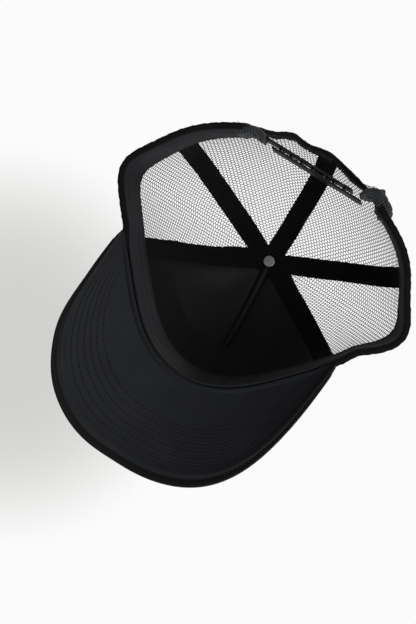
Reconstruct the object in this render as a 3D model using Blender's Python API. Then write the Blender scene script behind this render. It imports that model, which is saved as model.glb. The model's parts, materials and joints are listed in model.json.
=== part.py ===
"""Trucker mesh cap: five-panel crown, curved visor, sweatband and a snap closure at the back.

The crown is drawn in its own frame, rim plane at z = 0, visor towards -Y, and is then leaned
back as it stands on a table, on the back of its rim and the two sides of its visor.
"""

import math
from functools import lru_cache

import bmesh
import bpy
import numpy as np
from mathutils import Matrix, Vector

# Crown, metres
SIDE_RADIUS = 0.1001
FRONT_RADIUS = 0.0934
BACK_RADIUS = 0.0854
RIM_SQUARE = 0.0316
RIM_EGG = 0.0504
RIM_CORNER = 0.0090
CORNER_ANGLE = 1.59
CORNER_SPREAD = 0.19
CROWN_HEIGHT = 0.0902
APEX_SHIFT = 0.0053
FRONT_BULGE = 1.97
SIDE_BULGE = 2.26
BACK_BULGE = 3.25
FRONT_SEAM = 1.0895
SIDE_SEAM = 1.981
CENTRE_BACK = math.pi

# Layers, depth below the crown's outer face
GAP = 0.0003
LAYER_GAP = 0.0006
CLOTH = 0.0008
TAPE_TOP = CLOTH + LAYER_GAP
TAPE_BOTTOM = TAPE_TOP + 0.0009
FOAM_BOTTOM = TAPE_TOP + 0.0014
DART_BOTTOM = FOAM_BOTTOM + LAYER_GAP + 0.0010
BAND_TOP = FOAM_BOTTOM + LAYER_GAP
BAND_BOTTOM = BAND_TOP + 0.0015

TAPE_WIDTH = 0.0146
BAND_HEIGHT = 0.0345
BAND_LIFT = 0.0006
HEM_HEIGHT = 0.012
FOAM_STOP = 0.016
FOAM_ROWS = 12
FOAM_COLUMNS = 18
DART_START = 0.40
DART_STOP = 0.0175
DART_ROWS = 10
DART_TIP = 0.0006
DART_HALF = 0.0020
TAPE_ROWS = 16
TOP_HOLE = 0.0027
PANEL_ROWS = 12
SIDE_STEPS = 12
SEAM_HALF_GAP = 0.00025

# Back opening and its binding
ARCH_HALF = 0.055
ARCH_HEIGHT = 0.045
ARCH_BINDING = 0.0085
ARCH_STEPS = 10
BINDING_LEG = 0.0006
BINDING_GAP = 0.0005

# Visor
VISOR_LENGTH = 0.073
VISOR_HALF = 0.0900
VISOR_CORNER = 1.18
VISOR_TUCK = 0.0015
VISOR_SLOPE = 0.47
VISOR_ARCH = 4.2
VISOR_POWER = 2.85
VISOR_LIFT = 0.0022
VISOR_CLEAR = 0.0006
BOARD = 0.0016
VISOR_CLOTH = 0.0005
EDGE_WIDTH = 0.0055
EDGE_INSET = 0.0012
EDGE_LEG = 0.0005
VISOR_STEPS = 16
VISOR_TIP = 0.985

# Snap closure
STRAP_HALF = 0.040
STRAP_Y = 0.0672
STRAP_LOW = 0.0040
STRAP_TALL = 0.0165
STRAP_THICK = 0.0014
STRAP_SPACE = 0.0020
PEG_COUNT = 7
PEG_PITCH = 0.0086
PEG_RADIUS = 0.0017
PEG_LENGTH = 0.0042
HOLE_RADIUS = 0.0025
STRAP_END = 0.0052
TAB_TALL = 0.0185
TAB_STEPS = 8
TAB_THIN = 0.0009
TAB_SWELL = 0.0007
TAB_PULL = 0.55

# Button
BUTTON_RADIUS = 0.0078
BUTTON_HEIGHT = 0.0042
STEM_RADIUS = 0.0015
RIVET_RADIUS = 0.0041
RIVET_DISC = 0.0010
BUTTON_WALL = 0.0007
STEM_REACH = 0.0019
DOME_STEPS = 5

# Stance on the table: lean about X, then the shift that centres the box over the origin
LEAN = math.radians(-10.9)
SHIFT_Y = 0.038791
SHIFT_Z = 0.013388


def material(name, colour, roughness, metallic=0.0):
    made = bpy.data.materials.new(name)
    made.use_nodes = True
    shader = made.node_tree.nodes["Principled BSDF"]
    shader.inputs["Base Color"].default_value = (*colour, 1.0)
    shader.inputs["Roughness"].default_value = roughness
    shader.inputs["Metallic"].default_value = metallic
    made.diffuse_color = (*colour, 1.0)
    return made


def add_mesh(name, points, faces, look, stand, origin=(0.0, 0.0, 0.0)):
    """A closed object from points in the crown's frame, its origin at a chosen place."""
    start = Vector(origin)
    mesh = bpy.data.meshes.new(name)
    mesh.from_pydata([tuple(Vector(p) - start) for p in points], [], faces)
    shell = bmesh.new()
    shell.from_mesh(mesh)
    bmesh.ops.recalc_face_normals(shell, faces=shell.faces)
    shell.to_mesh(mesh)
    shell.free()
    mesh.shade_smooth()
    mesh.set_sharp_from_angle(angle=math.radians(35.0))
    mesh.materials.append(look)
    made = bpy.data.objects.new(name, mesh)
    made.location = start
    made.parent = stand
    bpy.context.scene.collection.objects.link(made)
    return made


def sheet_solid(name, upper, lower, look, stand):
    """A thin closed solid between two grids of points of the same size."""
    rows, cols = upper.shape[:2]
    size = rows * cols
    points = np.concatenate([upper.reshape(-1, 3), lower.reshape(-1, 3)]).tolist()
    faces = []
    for r in range(rows - 1):
        for c in range(cols - 1):
            a = r * cols + c
            quad = (a, a + 1, a + cols + 1, a + cols)
            faces.append(quad)
            faces.append(tuple(size + i for i in reversed(quad)))
    ring = list(range(cols))
    ring += [r * cols + cols - 1 for r in range(1, rows)]
    ring += [(rows - 1) * cols + c for c in range(cols - 2, -1, -1)]
    ring += [r * cols for r in range(rows - 2, 0, -1)]
    for i, a in enumerate(ring):
        b = ring[(i + 1) % len(ring)]
        faces.append((b, a, size + a, size + b))
    return add_mesh(name, points, faces, look, stand)


def swept_solid(name, sections, look, stand):
    """A closed solid through a list of sections, each the same closed outline of points."""
    count = len(sections[0])
    points = [tuple(p) for section in sections for p in section]
    faces = [tuple(range(count))]
    faces.append(tuple((len(sections) - 1) * count + i for i in reversed(range(count))))
    for k in range(len(sections) - 1):
        for i in range(count):
            j = (i + 1) % count
            faces.append((k * count + i, (k + 1) * count + i, (k + 1) * count + j, k * count + j))
    return add_mesh(name, points, faces, look, stand)


def rim_radius(angle):
    """Distance from the crown's axis to its rim; the angle is 0 at the front, + to the left."""
    sine, cosine = math.sin(angle), math.cos(angle)
    length = FRONT_RADIUS if cosine > 0 else BACK_RADIUS
    oval = 1.0 / math.sqrt((sine / SIDE_RADIUS) ** 2 + (cosine / length) ** 2)
    return oval * (1.0 + RIM_SQUARE * math.cos(4 * angle) + RIM_EGG * math.cos(3 * angle))


def side_corner(angle):
    """How far the rim stands out at its two sides, where the visor's ends stop bending it."""
    return RIM_CORNER * math.exp(-(((abs(angle) - CORNER_ANGLE) / CORNER_SPREAD) ** 2))


def bulge(angle):
    """Superellipse power of the crown's outline at this angle."""
    ahead = max(math.cos(angle), 0.0)
    behind = max(-math.cos(angle), 0.0)
    return FRONT_BULGE * ahead + BACK_BULGE * behind + SIDE_BULGE * (1.0 - ahead - behind)


@lru_cache(maxsize=None)
def profile(angle):
    """Points of the crown's outline from rim to top at one angle, and their run from the rim."""
    turn = np.linspace(0.0, math.pi / 2, 120)
    power = 2.0 / bulge(angle)
    rise = np.sin(turn) ** power
    level = rim_radius(angle) + side_corner(angle) * (1.0 - rise**2)
    reach = level * np.clip(np.cos(turn), 0.0, 1.0) ** power
    points = np.stack(
        [
            reach * math.sin(angle),
            -reach * math.cos(angle) + APEX_SHIFT * rise,
            CROWN_HEIGHT * rise,
        ],
        axis=1,
    )
    run = np.concatenate([[0.0], np.cumsum(np.linalg.norm(np.diff(points, axis=0), axis=1))])
    return points, run


def on_profile(angle, run):
    points, runs = profile(angle)
    return np.array([np.interp(run, runs, points[:, k]) for k in range(3)])


def full_run(angle):
    return float(profile(angle)[1][-1])


def top_run(angle, radius=TOP_HOLE):
    """Run from the rim at which the crown is this near to its top."""
    points, runs = profile(angle)
    away = np.hypot(points[:, 0], points[:, 1] - APEX_SHIFT * points[:, 2] / CROWN_HEIGHT)
    return float(np.interp(-radius, -away, runs))


def crown_point(angle, run, depth=0.0):
    """A point of the crown, this far below its outer face."""
    step = 0.002
    here = on_profile(angle, run)
    if depth == 0.0:
        return here
    along = on_profile(angle, min(run + step, full_run(angle))) - on_profile(angle, max(run - step, 0.0))
    around = on_profile(angle + 0.02, run) - on_profile(angle - 0.02, run)
    inward = np.cross(along, around)
    inward /= np.linalg.norm(inward)
    axis = np.array([0.0, APEX_SHIFT, 0.45 * CROWN_HEIGHT])
    if np.dot(inward, axis - here) < 0:
        inward = -inward
    return here + depth * inward


def matched_run(angle, other, run):
    """The run at another angle that is level with this one near the top, and the same at the rim."""
    share = run / full_run(angle)
    return run + (full_run(other) - full_run(angle)) * share**3


def level_radius(angle, run):
    point = on_profile(angle, run)
    return math.hypot(point[0], point[1] - APEX_SHIFT * point[2] / CROWN_HEIGHT)


def crown_grid(columns, low, high, rows, depth):
    """Grid of crown points: columns are angles, low and high give each column's run."""
    grid = np.zeros((rows + 1, len(columns), 3))
    for c, angle in enumerate(columns):
        start, end = low(angle), high(angle)
        for r in range(rows + 1):
            grid[r, c] = crown_point(angle, start + (end - start) * r / rows, depth)
    return grid


def crown_sheet(name, columns, low, high, rows, depths, look, stand):
    upper = crown_grid(columns, low, high, rows, depths[0])
    lower = crown_grid(columns, low, high, rows, depths[1])
    return sheet_solid(name, upper, lower, look, stand)


def arch_angle():
    return ARCH_HALF / on_profile(CENTRE_BACK, 0.0)[1]


def beside_back(across):
    """Angle of the crown this far, along the rim, from the centre of the back."""
    return across / ARCH_HALF * arch_angle()


def arch_run(angle, grow=0.0):
    """Height of the back opening along the crown at this angle, 0 outside it."""
    offset = abs(abs(angle) - CENTRE_BACK) / arch_angle() * ARCH_HALF
    half = ARCH_HALF + grow
    if offset >= half:
        return 0.0
    return (ARCH_HEIGHT + grow) * math.sqrt(1.0 - (offset / half) ** 2)


def panel_columns(start, end, count):
    """Angles across a panel, pulled in by the seam's gap at both sides."""
    edge = SEAM_HALF_GAP / SIDE_RADIUS
    return list(np.linspace(start + edge, end - edge, count + 1))


def shared_columns(start, end):
    """Angles from start to end by the mesh's own steps, so that the layers' facets are parallel."""
    step = (SIDE_SEAM - FRONT_SEAM) / SIDE_STEPS
    first = math.ceil((start - FRONT_SEAM) / step + 0.3)
    last = math.floor((end - FRONT_SEAM) / step - 0.3)
    return [start] + [FRONT_SEAM + k * step for k in range(first, last + 1)] + [end]


def back_columns(side):
    """Angles of a back panel: close together over the side of the opening."""
    edge = SEAM_HALF_GAP / SIDE_RADIUS
    near = CENTRE_BACK - edge
    far = CENTRE_BACK - arch_angle()
    turns = [k / ARCH_STEPS * math.pi / 2 for k in range(ARCH_STEPS + 1)]
    columns = [near - (near - far) * math.sin(turn) for turn in turns]
    columns += list(np.linspace(far, SIDE_SEAM + edge, 6))[1:]
    return [side * a for a in columns]


def front_panel(look, lining, dart_look, stand):
    columns = panel_columns(-FRONT_SEAM, FRONT_SEAM, 20)
    crown_sheet("front_panel", columns, lambda a: 0.0, top_run, PANEL_ROWS, (0.0, CLOTH), look, stand)
    foam_lining(lining, stand)
    dart_tape(dart_look, stand)


def foam_lining(look, stand):
    """Foam behind the front panel, between the two front tapes and short of the top."""
    rows, cols = FOAM_ROWS, FOAM_COLUMNS
    upper = np.zeros((rows + 1, cols + 1, 3))
    lower = np.zeros((rows + 1, cols + 1, 3))
    for r in range(rows + 1):
        seam_run = BAND_LIFT + r / rows * (top_run(FRONT_SEAM, FOAM_STOP) - BAND_LIFT)
        edge = FRONT_SEAM - (TAPE_WIDTH / 2 + LAYER_GAP) / level_radius(FRONT_SEAM, seam_run)
        for c in range(cols + 1):
            angle = edge * (2 * c / cols - 1)
            run = BAND_LIFT + r / rows * (top_run(angle, FOAM_STOP) - BAND_LIFT)
            upper[r, c] = crown_point(angle, run, TAPE_TOP)
            lower[r, c] = crown_point(angle, run, FOAM_BOTTOM)
    sheet_solid("front_foam_lining", upper, lower, look, stand)


def dart_tape(look, stand):
    """The folded seam of the front panel's short dart, on top of the foam."""
    start = DART_START * full_run(0.0)
    end = top_run(0.0, DART_STOP)
    upper, lower = [], []
    for r in range(DART_ROWS + 1):
        run = start + (end - start) * r / DART_ROWS
        half = DART_TIP + (DART_HALF - DART_TIP) * min(1.0, r / 3)
        turn = half / level_radius(0.0, run)
        upper.append([crown_point(k * turn, run, BAND_TOP) for k in (-1, 0, 1)])
        lower.append([crown_point(k * turn, run, DART_BOTTOM) for k in (-1, 0, 1)])
    sheet_solid("front_dart_seam", np.array(upper), np.array(lower), look, stand)


def mesh_panels(look, stand):
    for side, word in ((1, "left"), (-1, "right")):
        columns = [side * a for a in panel_columns(FRONT_SEAM, SIDE_SEAM, SIDE_STEPS)]
        name = "mesh_side_" + word
        crown_sheet(name, columns, lambda a: 0.0, top_run, PANEL_ROWS, (0.0, CLOTH), look, stand)
        name = "mesh_back_" + word
        crown_sheet(name, back_columns(side), arch_run, top_run, PANEL_ROWS, (0.0, CLOTH), look, stand)


def seam_tape(name, angle, low, before, after, look, stand):
    """A tape along one seam; near the top it is mitred against its neighbours."""
    high = top_run(angle)
    upper, lower = [], []
    for r in range(TAPE_ROWS + 1):
        run = low + (high - low) * r / TAPE_ROWS
        reach = level_radius(angle, run)
        wanted = TAPE_WIDTH / 2 / reach
        spare = GAP / 2 / reach
        left = min(wanted, before / 2 - spare)
        right = min(wanted, after / 2 - spare)
        turns = (angle - left, angle, angle + right)
        upper.append([crown_point(a, matched_run(angle, a, run), TAPE_TOP) for a in turns])
        lower.append([crown_point(a, matched_run(angle, a, run), TAPE_BOTTOM) for a in turns])
    sheet_solid(name, np.array(upper), np.array(lower), look, stand)


def seam_tapes(look, stand):
    above_hem = HEM_HEIGHT + LAYER_GAP
    wide = 2 * FRONT_SEAM
    side = SIDE_SEAM - FRONT_SEAM
    back = CENTRE_BACK - SIDE_SEAM
    seam_tape("tape_front_left", FRONT_SEAM, BAND_LIFT, wide, side, look, stand)
    seam_tape("tape_side_left", SIDE_SEAM, above_hem, side, back, look, stand)
    above_arch = ARCH_HEIGHT + ARCH_BINDING + 2 * LAYER_GAP
    seam_tape("tape_back", CENTRE_BACK, above_arch, back, back, look, stand)
    seam_tape("tape_side_right", -SIDE_SEAM, above_hem, back, side, look, stand)
    seam_tape("tape_front_right", -FRONT_SEAM, BAND_LIFT, side, wide, look, stand)


def sweatband_end():
    return CENTRE_BACK - beside_back(ARCH_HALF + 0.003)


def sweatband(look, stand):
    end = sweatband_end()
    half = shared_columns(0.0, end)
    columns = [-a for a in reversed(half[1:])] + half
    depths = (BAND_TOP, BAND_BOTTOM)
    crown_sheet("sweatband", columns, lambda a: BAND_LIFT, lambda a: BAND_HEIGHT, 4, depths, look, stand)


def mesh_hems(look, stand):
    """The mesh's lower edge, folded up between the mesh and the sweatband."""
    start = FRONT_SEAM + (TAPE_WIDTH / 2 + 2 * GAP) / level_radius(FRONT_SEAM, 0.0)
    end = CENTRE_BACK - beside_back(ARCH_HALF + ARCH_BINDING + 2 * LAYER_GAP)
    for side, word in ((1, "left"), (-1, "right")):
        columns = [side * a for a in shared_columns(start, end)]
        depths = (TAPE_TOP, FOAM_BOTTOM)
        name = "mesh_hem_" + word
        crown_sheet(name, columns, lambda a: 0.0003, lambda a: HEM_HEIGHT, 1, depths, look, stand)


def arch_binding(look, stand):
    """A folded tape around the edge of the back opening, a channel section bent round the arch."""
    turns = [math.pi / 2 * k / ARCH_STEPS for k in range(2 * ARCH_STEPS + 1)]
    swept_solid("back_arch_binding", [binding_section(turn) for turn in turns], look, stand)


def arch_place(turn, grow, depth):
    """A point beside the opening's edge: turn 0 to pi goes from one foot over to the other."""
    across = (ARCH_HALF + grow) * math.cos(turn)
    run = max((ARCH_HEIGHT + grow) * math.sin(turn), 0.0) + 0.0004
    return crown_point(CENTRE_BACK - beside_back(across), run, depth)


def binding_section(turn):
    outer = -BINDING_GAP - BINDING_LEG
    inner = CLOTH + BINDING_GAP + BINDING_LEG
    edge = -BINDING_GAP
    corners = (
        (edge - BINDING_LEG, outer),
        (ARCH_BINDING, outer),
        (ARCH_BINDING, -BINDING_GAP),
        (edge, -BINDING_GAP),
        (edge, CLOTH + BINDING_GAP),
        (ARCH_BINDING, CLOTH + BINDING_GAP),
        (ARCH_BINDING, inner),
        (edge - BINDING_LEG, inner),
    )
    return [arch_place(turn, grow, depth) for grow, depth in corners]


def seam_front():
    return -rim_radius(0.0)


def visor_slope_height(x, y):
    return VISOR_SLOPE * (y - seam_front()) - VISOR_ARCH * x * x


def visor_edge(u):
    """Outer edge of the visor in plan; u runs from -1 at one corner to 1 at the other."""
    corner_y = -rim_radius(VISOR_CORNER) * math.cos(VISOR_CORNER)
    turn = u * math.pi / 2
    reach = abs(math.sin(turn)) ** (2 / VISOR_POWER)
    x = (VISOR_HALF - VISOR_TUCK * reach**8) * math.copysign(reach, turn)
    front = -FRONT_RADIUS - VISOR_LENGTH
    y = corner_y + (front - corner_y) * abs(math.cos(turn)) ** (2 / VISOR_POWER)
    return x, y


def visor_seam(u):
    angle = u * VISOR_CORNER
    reach = rim_radius(angle) + VISOR_CLEAR
    return reach * math.sin(angle), -reach * math.cos(angle)


def visor_point(u, v, height):
    """A point of the visor; v runs from the crown seam to the outer edge."""
    seam = visor_seam(u)
    edge = visor_edge(u)
    x = seam[0] * (1 - v) + edge[0] * v
    y = seam[1] * (1 - v) + edge[1] * v
    steep = math.sqrt(1 + VISOR_SLOPE**2 + (2 * VISOR_ARCH * x) ** 2)
    return np.array([x, y, VISOR_LIFT + visor_slope_height(x, y) + height * steep])


def visor_columns():
    """Places along the visor from corner to corner, closer together towards its corners."""
    steps = range(-VISOR_STEPS, VISOR_STEPS + 1)
    return [VISOR_TIP * math.sin(k / VISOR_STEPS * math.pi / 2) for k in steps]


def from_edge(u, distance):
    """The v of a place this far in from the outer edge, never past most of the width there."""
    width = math.dist(visor_seam(u), visor_edge(u))
    return 1.0 - min(distance, EDGE_WIDTH) / max(width, EDGE_WIDTH * 1.2)


def visor_layer(name, low, high, look, stand):
    columns = visor_columns()
    rows = 5
    grids = []
    for height in (high, low):
        grid = np.zeros((rows + 1, len(columns), 3))
        for c, u in enumerate(columns):
            for r in range(rows + 1):
                grid[r, c] = visor_point(u, from_edge(u, EDGE_INSET) * r / rows, height)
        grids.append(grid)
    sheet_solid(name, grids[0], grids[1], look, stand)


def visor(top_look, under_look, board_look, edge_look, stand):
    half = BOARD / 2
    inside = half + GAP
    outside = inside + VISOR_CLOTH
    visor_layer("visor_board", -half, half, board_look, stand)
    visor_layer("visor_top_fabric", inside, outside, top_look, stand)
    visor_layer("visor_under_fabric", -outside, -inside, under_look, stand)
    edge_binding(outside + GAP, edge_look, stand)


def edge_binding(reach, look, stand):
    """The folded tape around the visor's outer edge, a channel section swept round it."""
    sections = []
    for u in visor_columns():
        back = from_edge(u, EDGE_WIDTH)
        inner = from_edge(u, EDGE_INSET - 2 * GAP)
        corners = (
            (1.0, -reach - EDGE_LEG),
            (1.0, reach + EDGE_LEG),
            (back, reach + EDGE_LEG),
            (back, reach),
            (inner, reach),
            (inner, -reach),
            (back, -reach),
            (back, -reach - EDGE_LEG),
        )
        sections.append([visor_point(u, v, h) for v, h in corners])
    swept_solid("visor_binding", sections, look, stand)


def dome_rings(radius, height, base, steps):
    """Rings of a shallow dome from its edge to near its middle."""
    rings = []
    for k in range(steps):
        turn = k / steps * math.pi / 2
        rings.append((radius * math.cos(turn), base + height * math.sin(turn)))
    return rings


def turned_solid(name, outline, look, stand, sides=24):
    """A solid of revolution about the crown's top; the outline runs from axis to axis."""
    centre_y = APEX_SHIFT
    points, faces, rings = [], [], []
    for radius, height in outline:
        if radius < 1e-6:
            rings.append([len(points)])
            points.append((0.0, centre_y, height))
            continue
        rings.append(list(range(len(points), len(points) + sides)))
        for s in range(sides):
            turn = 2 * math.pi * s / sides
            points.append((radius * math.cos(turn), centre_y + radius * math.sin(turn), height))
    for lower, upper in zip(rings, rings[1:]):
        for s in range(sides):
            t = (s + 1) % sides
            if len(lower) == 1:
                faces.append((lower[0], upper[s], upper[t]))
            elif len(upper) == 1:
                faces.append((lower[s], lower[t], upper[0]))
            else:
                faces.append((lower[s], lower[t], upper[t], upper[s]))
    return add_mesh(name, points, faces, look, stand)


def button(cloth_look, shell_look, rivet_look, stand):
    """A fabric-covered button on the crown's top, held by a rivet with a disc inside."""
    seat = CROWN_HEIGHT + GAP
    wall = BUTTON_WALL
    dome = dome_rings(BUTTON_RADIUS, BUTTON_HEIGHT, seat, DOME_STEPS)
    hollow = dome_rings(BUTTON_RADIUS - wall, BUTTON_HEIGHT - wall, seat, DOME_STEPS)
    cover = [(0.0, seat + BUTTON_HEIGHT - wall)] + hollow[::-1] + dome + [(0.0, seat + BUTTON_HEIGHT)]
    turned_solid("button_cover", cover, cloth_look, stand)
    gap = wall + GAP
    core_height = BUTTON_HEIGHT - gap - GAP
    core = dome_rings(BUTTON_RADIUS - gap, core_height, seat + GAP, DOME_STEPS)
    stem_end = seat + STEM_REACH
    socket = STEM_RADIUS + GAP
    shell = [(0.0, stem_end + GAP), (socket, stem_end + GAP), (socket, seat + GAP)]
    shell += core + [(0.0, seat + GAP + core_height)]
    turned_solid("button_shell", shell, shell_look, stand)
    disc_top = CROWN_HEIGHT - TAPE_BOTTOM - GAP
    disc = disc_top - RIVET_DISC
    bevel = RIVET_DISC * 0.4
    rivet = [(0.0, disc), (RIVET_RADIUS - bevel, disc), (RIVET_RADIUS, disc + bevel)]
    rivet += [(RIVET_RADIUS, disc_top), (STEM_RADIUS, disc_top), (STEM_RADIUS, stem_end)]
    rivet += [(0.0, stem_end)]
    turned_solid("button_rivet", rivet, rivet_look, stand)


def strap_middle():
    return STRAP_LOW + STRAP_TALL / 2


def strap_outline(length, rounded=5):
    """Plan of a strap lying along +X from its hinge at 0, with a round root and a blunt tip."""
    half = STRAP_THICK / 2
    root = []
    for k in range(rounded * 2 + 1):
        turn = math.pi / 2 + math.pi * k / (rounded * 2)
        root.append((half * math.cos(turn), half * math.sin(turn)))
    return [(length, half)] + root + [(length, -half)]


def strap_blank(name, length, hinge, direction, look, stand):
    outline = strap_outline(length)
    sections = []
    for z in (STRAP_LOW, STRAP_LOW + STRAP_TALL):
        sections.append([(hinge[0] + direction * x, hinge[1] + y, z) for x, y in outline])
    count = len(outline)
    points = sections[0] + sections[1]
    faces = [tuple(range(count)), tuple(count + i for i in reversed(range(count)))]
    for i in range(count):
        j = (i + 1) % count
        faces.append((i, j, count + j, count + i))
    return add_mesh(name, points, faces, look, stand, origin=(hinge[0], hinge[1], strap_middle()))


def peg_places():
    return [(k - (PEG_COUNT - 1) / 2) * PEG_PITCH for k in range(PEG_COUNT)]


def cylinder_at(name, radius, x, y_low, y_high, sides=16):
    """A round bar along Y, in the crown's frame, for joining to or cutting from a strap."""
    shape = bmesh.new()
    lean = Matrix.Rotation(math.pi / 2, 4, "X")
    place = Matrix.Translation((x, (y_low + y_high) / 2, strap_middle())) @ lean
    bmesh.ops.create_cone(
        shape,
        cap_ends=True,
        segments=sides,
        radius1=radius,
        radius2=radius,
        depth=y_high - y_low,
        matrix=place,
    )
    mesh = bpy.data.meshes.new(name)
    shape.to_mesh(mesh)
    shape.free()
    made = bpy.data.objects.new(name, mesh)
    bpy.context.scene.collection.objects.link(made)
    return made


def combine(target, tools, operation, stand):
    """Booleans are done as modifiers, each with its hidden tool."""
    for tool in tools:
        tool.parent = stand
        tool.hide_render = True
        tool.display_type = "WIRE"
        change = target.modifiers.new(tool.name, "BOOLEAN")
        change.operation = operation
        change.solver = "EXACT"
        change.object = tool


def snap_straps(look, stand):
    """The peg strap lies inside, held at the right; the hole strap lies outside, at the left."""
    reach = STRAP_HALF + peg_places()[-1] + STRAP_END
    peg_strap = strap_blank("snap_strap_pegs", reach, (-STRAP_HALF, STRAP_Y), 1, look, stand)
    outer_y = STRAP_Y + STRAP_THICK + STRAP_SPACE
    hole_strap = strap_blank("snap_strap_holes", reach, (STRAP_HALF, outer_y), -1, look, stand)
    face = STRAP_Y + STRAP_THICK / 2
    pegs, holes = [], []
    for k, x in enumerate(peg_places()):
        pegs.append(cylinder_at(f"peg_tool_{k}", PEG_RADIUS, x, face - 0.0005, face + PEG_LENGTH))
        holes.append(cylinder_at(f"hole_tool_{k}", HOLE_RADIUS, x, outer_y - 0.003, outer_y + 0.003))
    combine(peg_strap, pegs, "UNION", stand)
    combine(hole_strap, holes, "DIFFERENCE", stand)


def tab_line(start, heading, mouth, side):
    """Plan of a tab: a curve from the sweatband's end to the strap's root, and its normals."""
    pull = TAB_PULL * np.linalg.norm(mouth - start)
    a, b, c, d = start, start + pull * heading, mouth + np.array([side * pull, 0.0]), mouth
    line = []
    for k in range(TAB_STEPS + 1):
        t = k / TAB_STEPS
        point = (1 - t) ** 3 * a + 3 * (1 - t) ** 2 * t * b + 3 * (1 - t) * t * t * c + t**3 * d
        slope = 3 * (1 - t) ** 2 * (b - a) + 6 * (1 - t) * t * (c - b) + 3 * t * t * (d - c)
        slope /= np.linalg.norm(slope)
        thick = TAB_THIN + TAB_SWELL * math.sin(math.pi / 2 * t)
        line.append((point, np.array([-slope[1], slope[0]]) * thick))
    return line


def strap_tabs(look, stand):
    """Folded fabric tabs that hold the straps, from the ends of the sweatband."""
    end = sweatband_end() + beside_back(2 * LAYER_GAP)
    depth = (BAND_TOP + BAND_BOTTOM) / 2
    low = STRAP_LOW - (TAB_TALL - STRAP_TALL) / 2
    for side, word, y_end in ((1, "left", STRAP_Y + STRAP_THICK + STRAP_SPACE), (-1, "right", STRAP_Y)):
        start = crown_point(side * end, 0.0, depth)[:2]
        behind = crown_point(side * (end - 0.05), 0.0, depth)[:2]
        heading = (start - behind) / np.linalg.norm(start - behind)
        mouth = np.array([side * (STRAP_HALF + STRAP_THICK / 2 + 2 * GAP), y_end])
        sections = []
        for point, offset in tab_line(start, heading, mouth, side):
            outer, inner = point + offset, point - offset
            section = [(*outer, low), (*outer, low + TAB_TALL), (*inner, low + TAB_TALL), (*inner, low)]
            sections.append(section)
        swept_solid("strap_tab_" + word, sections, look, stand)


def clear_scene():
    for item in list(bpy.data.objects):
        bpy.data.objects.remove(item, do_unlink=True)


def build():
    clear_scene()
    stand = bpy.data.objects.new("cap_frame", None)
    stand.rotation_euler = (LEAN, 0.0, 0.0)
    stand.location = (0.0, SHIFT_Y, SHIFT_Z)
    bpy.context.scene.collection.objects.link(stand)

    cloth = material("black_twill", (0.012, 0.012, 0.013), 0.85)
    foam = material("foam_lining", (0.010, 0.010, 0.011), 0.9)
    mesh = material("black_mesh", (0.015, 0.015, 0.016), 0.6)
    tape = material("seam_tape", (0.008, 0.008, 0.009), 0.9)
    band = material("sweatband_cloth", (0.020, 0.021, 0.023), 0.8)
    binding = material("binding_cloth", (0.014, 0.014, 0.015), 0.75)
    board = material("visor_board", (0.05, 0.05, 0.05), 0.6)
    plastic = material("strap_plastic", (0.018, 0.018, 0.02), 0.35)
    steel = material("rivet_steel", (0.5, 0.5, 0.5), 0.35, 1.0)
    webbing = material("tab_webbing", (0.03, 0.032, 0.034), 0.85)

    front_panel(cloth, foam, tape, stand)
    mesh_panels(mesh, stand)
    seam_tapes(tape, stand)
    sweatband(band, stand)
    mesh_hems(mesh, stand)
    arch_binding(binding, stand)
    visor(cloth, cloth, board, binding, stand)
    button(cloth, steel, steel, stand)
    snap_straps(plastic, stand)
    strap_tabs(webbing, stand)


build()
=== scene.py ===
"""The looks of the trucker mesh cap: cloth, open mesh, stitching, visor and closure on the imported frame."""

import json
import math

import bmesh
import bpy
import numpy as np
from mathutils import Matrix, Vector


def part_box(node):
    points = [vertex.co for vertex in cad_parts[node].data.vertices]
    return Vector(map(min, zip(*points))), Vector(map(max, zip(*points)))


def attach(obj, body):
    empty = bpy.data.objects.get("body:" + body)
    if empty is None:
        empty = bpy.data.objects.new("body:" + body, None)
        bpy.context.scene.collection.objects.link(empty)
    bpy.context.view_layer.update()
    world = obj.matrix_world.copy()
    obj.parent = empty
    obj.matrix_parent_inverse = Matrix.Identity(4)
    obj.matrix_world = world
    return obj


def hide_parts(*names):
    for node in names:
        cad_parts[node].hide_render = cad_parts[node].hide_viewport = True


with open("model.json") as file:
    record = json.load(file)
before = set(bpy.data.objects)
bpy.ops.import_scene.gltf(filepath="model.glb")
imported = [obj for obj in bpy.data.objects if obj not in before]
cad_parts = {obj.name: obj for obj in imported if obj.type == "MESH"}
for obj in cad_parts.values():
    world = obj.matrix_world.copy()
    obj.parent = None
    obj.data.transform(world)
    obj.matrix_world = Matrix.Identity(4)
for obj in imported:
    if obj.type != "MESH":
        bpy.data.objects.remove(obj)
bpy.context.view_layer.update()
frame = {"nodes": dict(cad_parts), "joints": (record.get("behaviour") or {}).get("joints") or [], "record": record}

MM = 0.001

# The crown's driving sizes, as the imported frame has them, metres
SIDE_RADIUS = 0.1001
FRONT_RADIUS = 0.0934
BACK_RADIUS = 0.0854
RIM_SQUARE = 0.0316
RIM_EGG = 0.0504
RIM_CORNER = 0.0090
CORNER_ANGLE = 1.59
CORNER_SPREAD = 0.19
CROWN_HEIGHT = 0.0902
APEX_SHIFT = 0.0053
FRONT_BULGE = 1.97
SIDE_BULGE = 2.26
BACK_BULGE = 3.25
FRONT_SEAM = 1.0895
SIDE_SEAM = 1.981
BACK = math.pi
TOP_HOLE = 0.0027

# Layers, depth below the crown's outer face
CLOTH = 0.8 * MM
TAPE_IN = 1.3 * MM
TAPE_OUT = 2.2 * MM
BAND_IN = 3.2 * MM
BAND_OUT = 5.0 * MM
TAPE_WIDTH = 14.6 * MM
BAND_HEIGHT = 34.5 * MM

# The cap's two sides, and the rim's usual distance from the middle, for cloth coordinates
SIDES = ((1, "left"), (-1, "right"))
RIM_REACH = 95.0 * MM

# The back opening, the tape that binds it, and how far short of it the net stops
ARCH_HALF = 0.055
ARCH_HEIGHT = 0.045
ARCH_BINDING = 8.5 * MM
ARCH_STITCH = 5.9 * MM
NET_CLEAR = 2.7 * MM

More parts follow.
